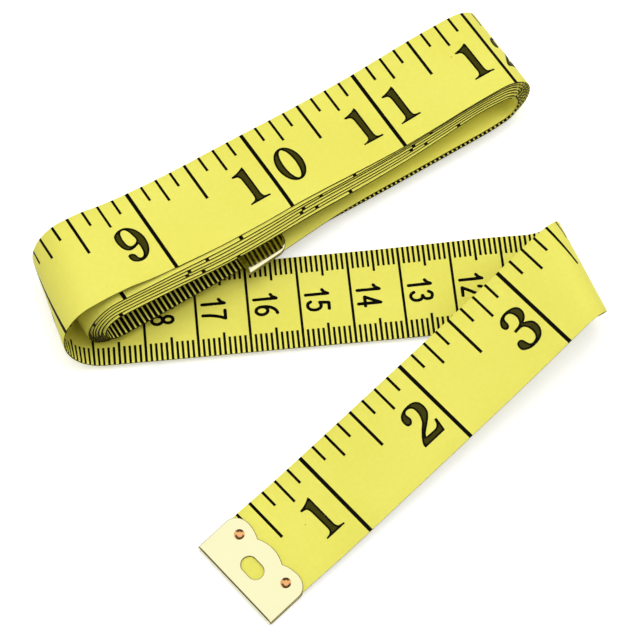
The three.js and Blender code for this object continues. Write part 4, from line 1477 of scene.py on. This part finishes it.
clip_piece("start_clip_plate", start_place, "leader", True, START_RIVET_SIDE, "start_clip")
clip_piece("end_clip_plate", end_place, "coil", False, END_RIVET_SIDE, "end_clip")

# %% [markdown]
# A rivet is a short copper post, pressed into a round head on one side and a flat one on the
# other. Turning its profile round an axis gives the right form in a few lines. The round
# head is a dome with a thin collar where it meets the plate.

# %% Build the rivets
# Each profile is a list of radius and height, in millimetres from the tape's middle
ROUND_HEAD = [(0.5, 0.0), (0.5, 0.60), (0.97, 0.602), (1.0, 0.63), (0.95, 0.68), (0.87, 0.765),
              (0.75, 0.88), (0.55, 1.01), (0.29, 1.11), (0.0, 1.145)]
FLAT_HEAD = [(0.0, -0.80), (0.4, -0.79), (0.7, -0.76), (0.9, -0.70), (0.93, -0.602),
             (0.5, -0.60)]
RIVET_SIDES = 28


def rivet_piece(name, place, rivet_side, body, node):
    profile = FLAT_HEAD + ROUND_HEAD[1:]
    rings, faces, points = [], [], []
    for radius, height in profile:
        if radius == 0.0:
            rings.append([len(points)])
            points.append((0.0, 0.0, height))
            continue
        rings.append(list(range(len(points), len(points) + RIVET_SIDES)))
        points += [(x, y, height) for x, y in oval(0.0, 0.0, radius, radius, RIVET_SIDES)]
    for low, high in zip(rings, rings[1:]):
        for k in range(RIVET_SIDES):
            n = (k + 1) % RIVET_SIDES
            if len(low) == 1:
                faces.append((low[0], high[n], high[k]))
            elif len(high) == 1:
                faces.append((low[k], low[n], high[0]))
            else:
                faces.append((low[k], low[n], high[n], high[k]))
    local = np.array(points) + np.array([RIVET_PLACE, rivet_side, 0.0])
    mesh = bpy.data.meshes.new(name)
    mesh.from_pydata((in_frame(local, place) * MM).tolist(), [], faces)
    face_outward(mesh)
    shade_smooth(mesh, METAL_SHARP)
    mesh.materials.append(copper)
    piece = place_mesh(name, mesh)
    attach(piece, body)
    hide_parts(node)
    print("%s: %d faces" % (name, len(mesh.polygons)))


for clip, place, rivet_side, body in (("start_clip", start_place, START_RIVET_SIDE, "leader"),
                                      ("end_clip", end_place, END_RIVET_SIDE, "coil")):
    for number, side in ((1, -1), (2, 1)):
        rivet_piece("%s_rivet_head_%d" % (clip, number), place, side * rivet_side, body,
                    "%s_rivet_%d" % (clip, number))

# %% [markdown]
# ## Floor, light and camera
# The object lies on plain white. The floor keeps a soft shadow, and the camera sees the
# world as simply white. A broad lamp overhead, a weaker one on each side and a pale world
# light the cloth evenly, at a level where a colour comes out as written. A polished rivet or
# fold would look like chalk in an all-white room, so a reflection finds dark walls there
# under a bright ceiling, with a window to the left and right of the front.

# %% The white floor
FLOOR_REACH, FLOOR_DROP, FLOOR_GLOW = 2.0, 0.0001, 0.42


def floor_finish():
    material, tree, shader = new_material("white_floor")
    shader.inputs["Base Color"].default_value = (0.86, 0.86, 0.86, 1)
    shader.inputs["Roughness"].default_value = 0.9
    shader.inputs["Specular IOR Level"].default_value = 0.1
    rays = tree.nodes.new("ShaderNodeLightPath").outputs
    seen = math_node(tree, "MAXIMUM", rays["Is Camera Ray"], rays["Is Glossy Ray"])
    seen = math_node(tree, "MAXIMUM", seen, rays["Is Transmission Ray"])
    glow = math_node(tree, "MULTIPLY", seen, FLOOR_GLOW)
    tree.links.new(glow, shader.inputs["Emission Strength"])
    shader.inputs["Emission Color"].default_value = (1, 1, 1, 1)
    return material


floor_mesh = bpy.data.meshes.new("floor")
floor_mesh.from_pydata([(x * FLOOR_REACH, y * FLOOR_REACH, 0)
                        for x, y in ((-1, -1), (1, -1), (1, 1), (-1, 1))], [], [(0, 1, 2, 3)])
floor_mesh.materials.append(floor_finish())
floor = place_mesh("floor", floor_mesh)
floor.location.z = -FLOOR_DROP
print("floor reaches %.1f m each way" % FLOOR_REACH)

# %% [markdown]
# The world is one background with a strength. A lit surface sees it pale and even, the
# camera sees it white, and a reflection sees the room: bright at the ceiling and in the
# windows, dark on the walls. The directions come from the ray itself, so the room stays
# where it is in every view.

# %% The world
AMBIENT, WINDOW, WALL = 0.3, 1.35, 0.12
WALL_TOP, WALL_BLUR = 0.62, 0.12
WINDOW_SIDE, WINDOW_BLUR, FRONT_BLUR = 0.6, 0.08, 0.1

world = bpy.data.worlds.new("pale_room")
world.use_nodes = True
bpy.context.scene.world = world
tree = world.node_tree
towards = tree.nodes.new("ShaderNodeSeparateXYZ")
tree.links.new(tree.nodes.new("ShaderNodeTexCoord").outputs["Generated"], towards.inputs[0])
east, north, height = [towards.outputs[axis] for axis in "XYZ"]
window = math_node(tree, "MULTIPLY",
                   soft_step(tree, WINDOW_SIDE, math_node(tree, "ABSOLUTE", east), WINDOW_BLUR),
                   soft_step(tree, 0.0, north, FRONT_BLUR))
wall = math_node(tree, "MULTIPLY", soft_step(tree, height, WALL_TOP, WALL_BLUR),
                 math_node(tree, "SUBTRACT", 1.0, window))
room = math_node(tree, "MULTIPLY_ADD", wall, WALL - WINDOW, WINDOW - AMBIENT)
rays = tree.nodes.new("ShaderNodeLightPath").outputs
seen = math_node(tree, "MAXIMUM", rays["Is Camera Ray"], rays["Is Transmission Ray"])
strength = math_node(tree, "MULTIPLY_ADD", seen, 1.0 - AMBIENT, AMBIENT)
mirrored = math_node(tree, "MULTIPLY", rays["Is Glossy Ray"], room)
background = tree.nodes["Background"].inputs
tree.links.new(math_node(tree, "ADD", strength, mirrored), background["Strength"])
background["Color"].default_value = (1, 1, 1, 1)
print("world: pale at %.1f, white to the camera" % AMBIENT)

# %% [markdown]
# Broad area lamps give the soft shadows of a studio. They are hidden from reflections,
# because the room above already says what the metal sees.

# %% Lamps
def soft_lamp(name, place, power, size):
    lamp = bpy.data.lights.new(name, "AREA")
    lamp.energy, lamp.size = power, size
    holder = bpy.data.objects.new(name, lamp)
    holder.location = place
    aim = Vector((0, 0, 0)) - Vector(place)
    holder.rotation_euler = aim.to_track_quat("-Z", "Y").to_euler()
    holder.visible_glossy = False
    bpy.context.scene.collection.objects.link(holder)


soft_lamp("overhead_lamp", (0.0, 0.05, 0.9), power=5.5, size=0.8)
soft_lamp("right_lamp", (0.7, 0.15, 0.6), power=1.5, size=0.5)
soft_lamp("left_lamp", (-0.7, 0.1, 0.6), power=0.8, size=0.5)
print("lamps:", len(bpy.data.lights))

# %% [markdown]
# The camera stands in front of the object and looks down at it steeply. Its lens and
# place were worked out from the spacing of the printed lines, which is known.

# %% Camera
LOOK_AT = np.array([0.266, -0.905, 0.0])
ELEVATION, CAMERA_DISTANCE, LENS, SENSOR = math.radians(66.5), 454.6, 133.41, 36.0
NEAREST, FARTHEST = 0.01, 10.0

camera_data = bpy.data.cameras.new("camera")
camera_data.lens, camera_data.sensor_width = LENS, SENSOR
camera_data.clip_start, camera_data.clip_end = NEAREST, FARTHEST
camera = bpy.data.objects.new("camera", camera_data)
backward = np.array([0.0, -math.cos(ELEVATION), math.sin(ELEVATION)])
camera.location = metres(LOOK_AT + backward * CAMERA_DISTANCE)
camera.rotation_euler = (math.pi / 2 - ELEVATION, 0.0, 0.0)
bpy.context.scene.collection.objects.link(camera)
bpy.context.scene.camera = camera
bpy.context.scene.view_settings.view_transform = "Standard"
print("camera at", [round(value, 4) for value in camera.location])
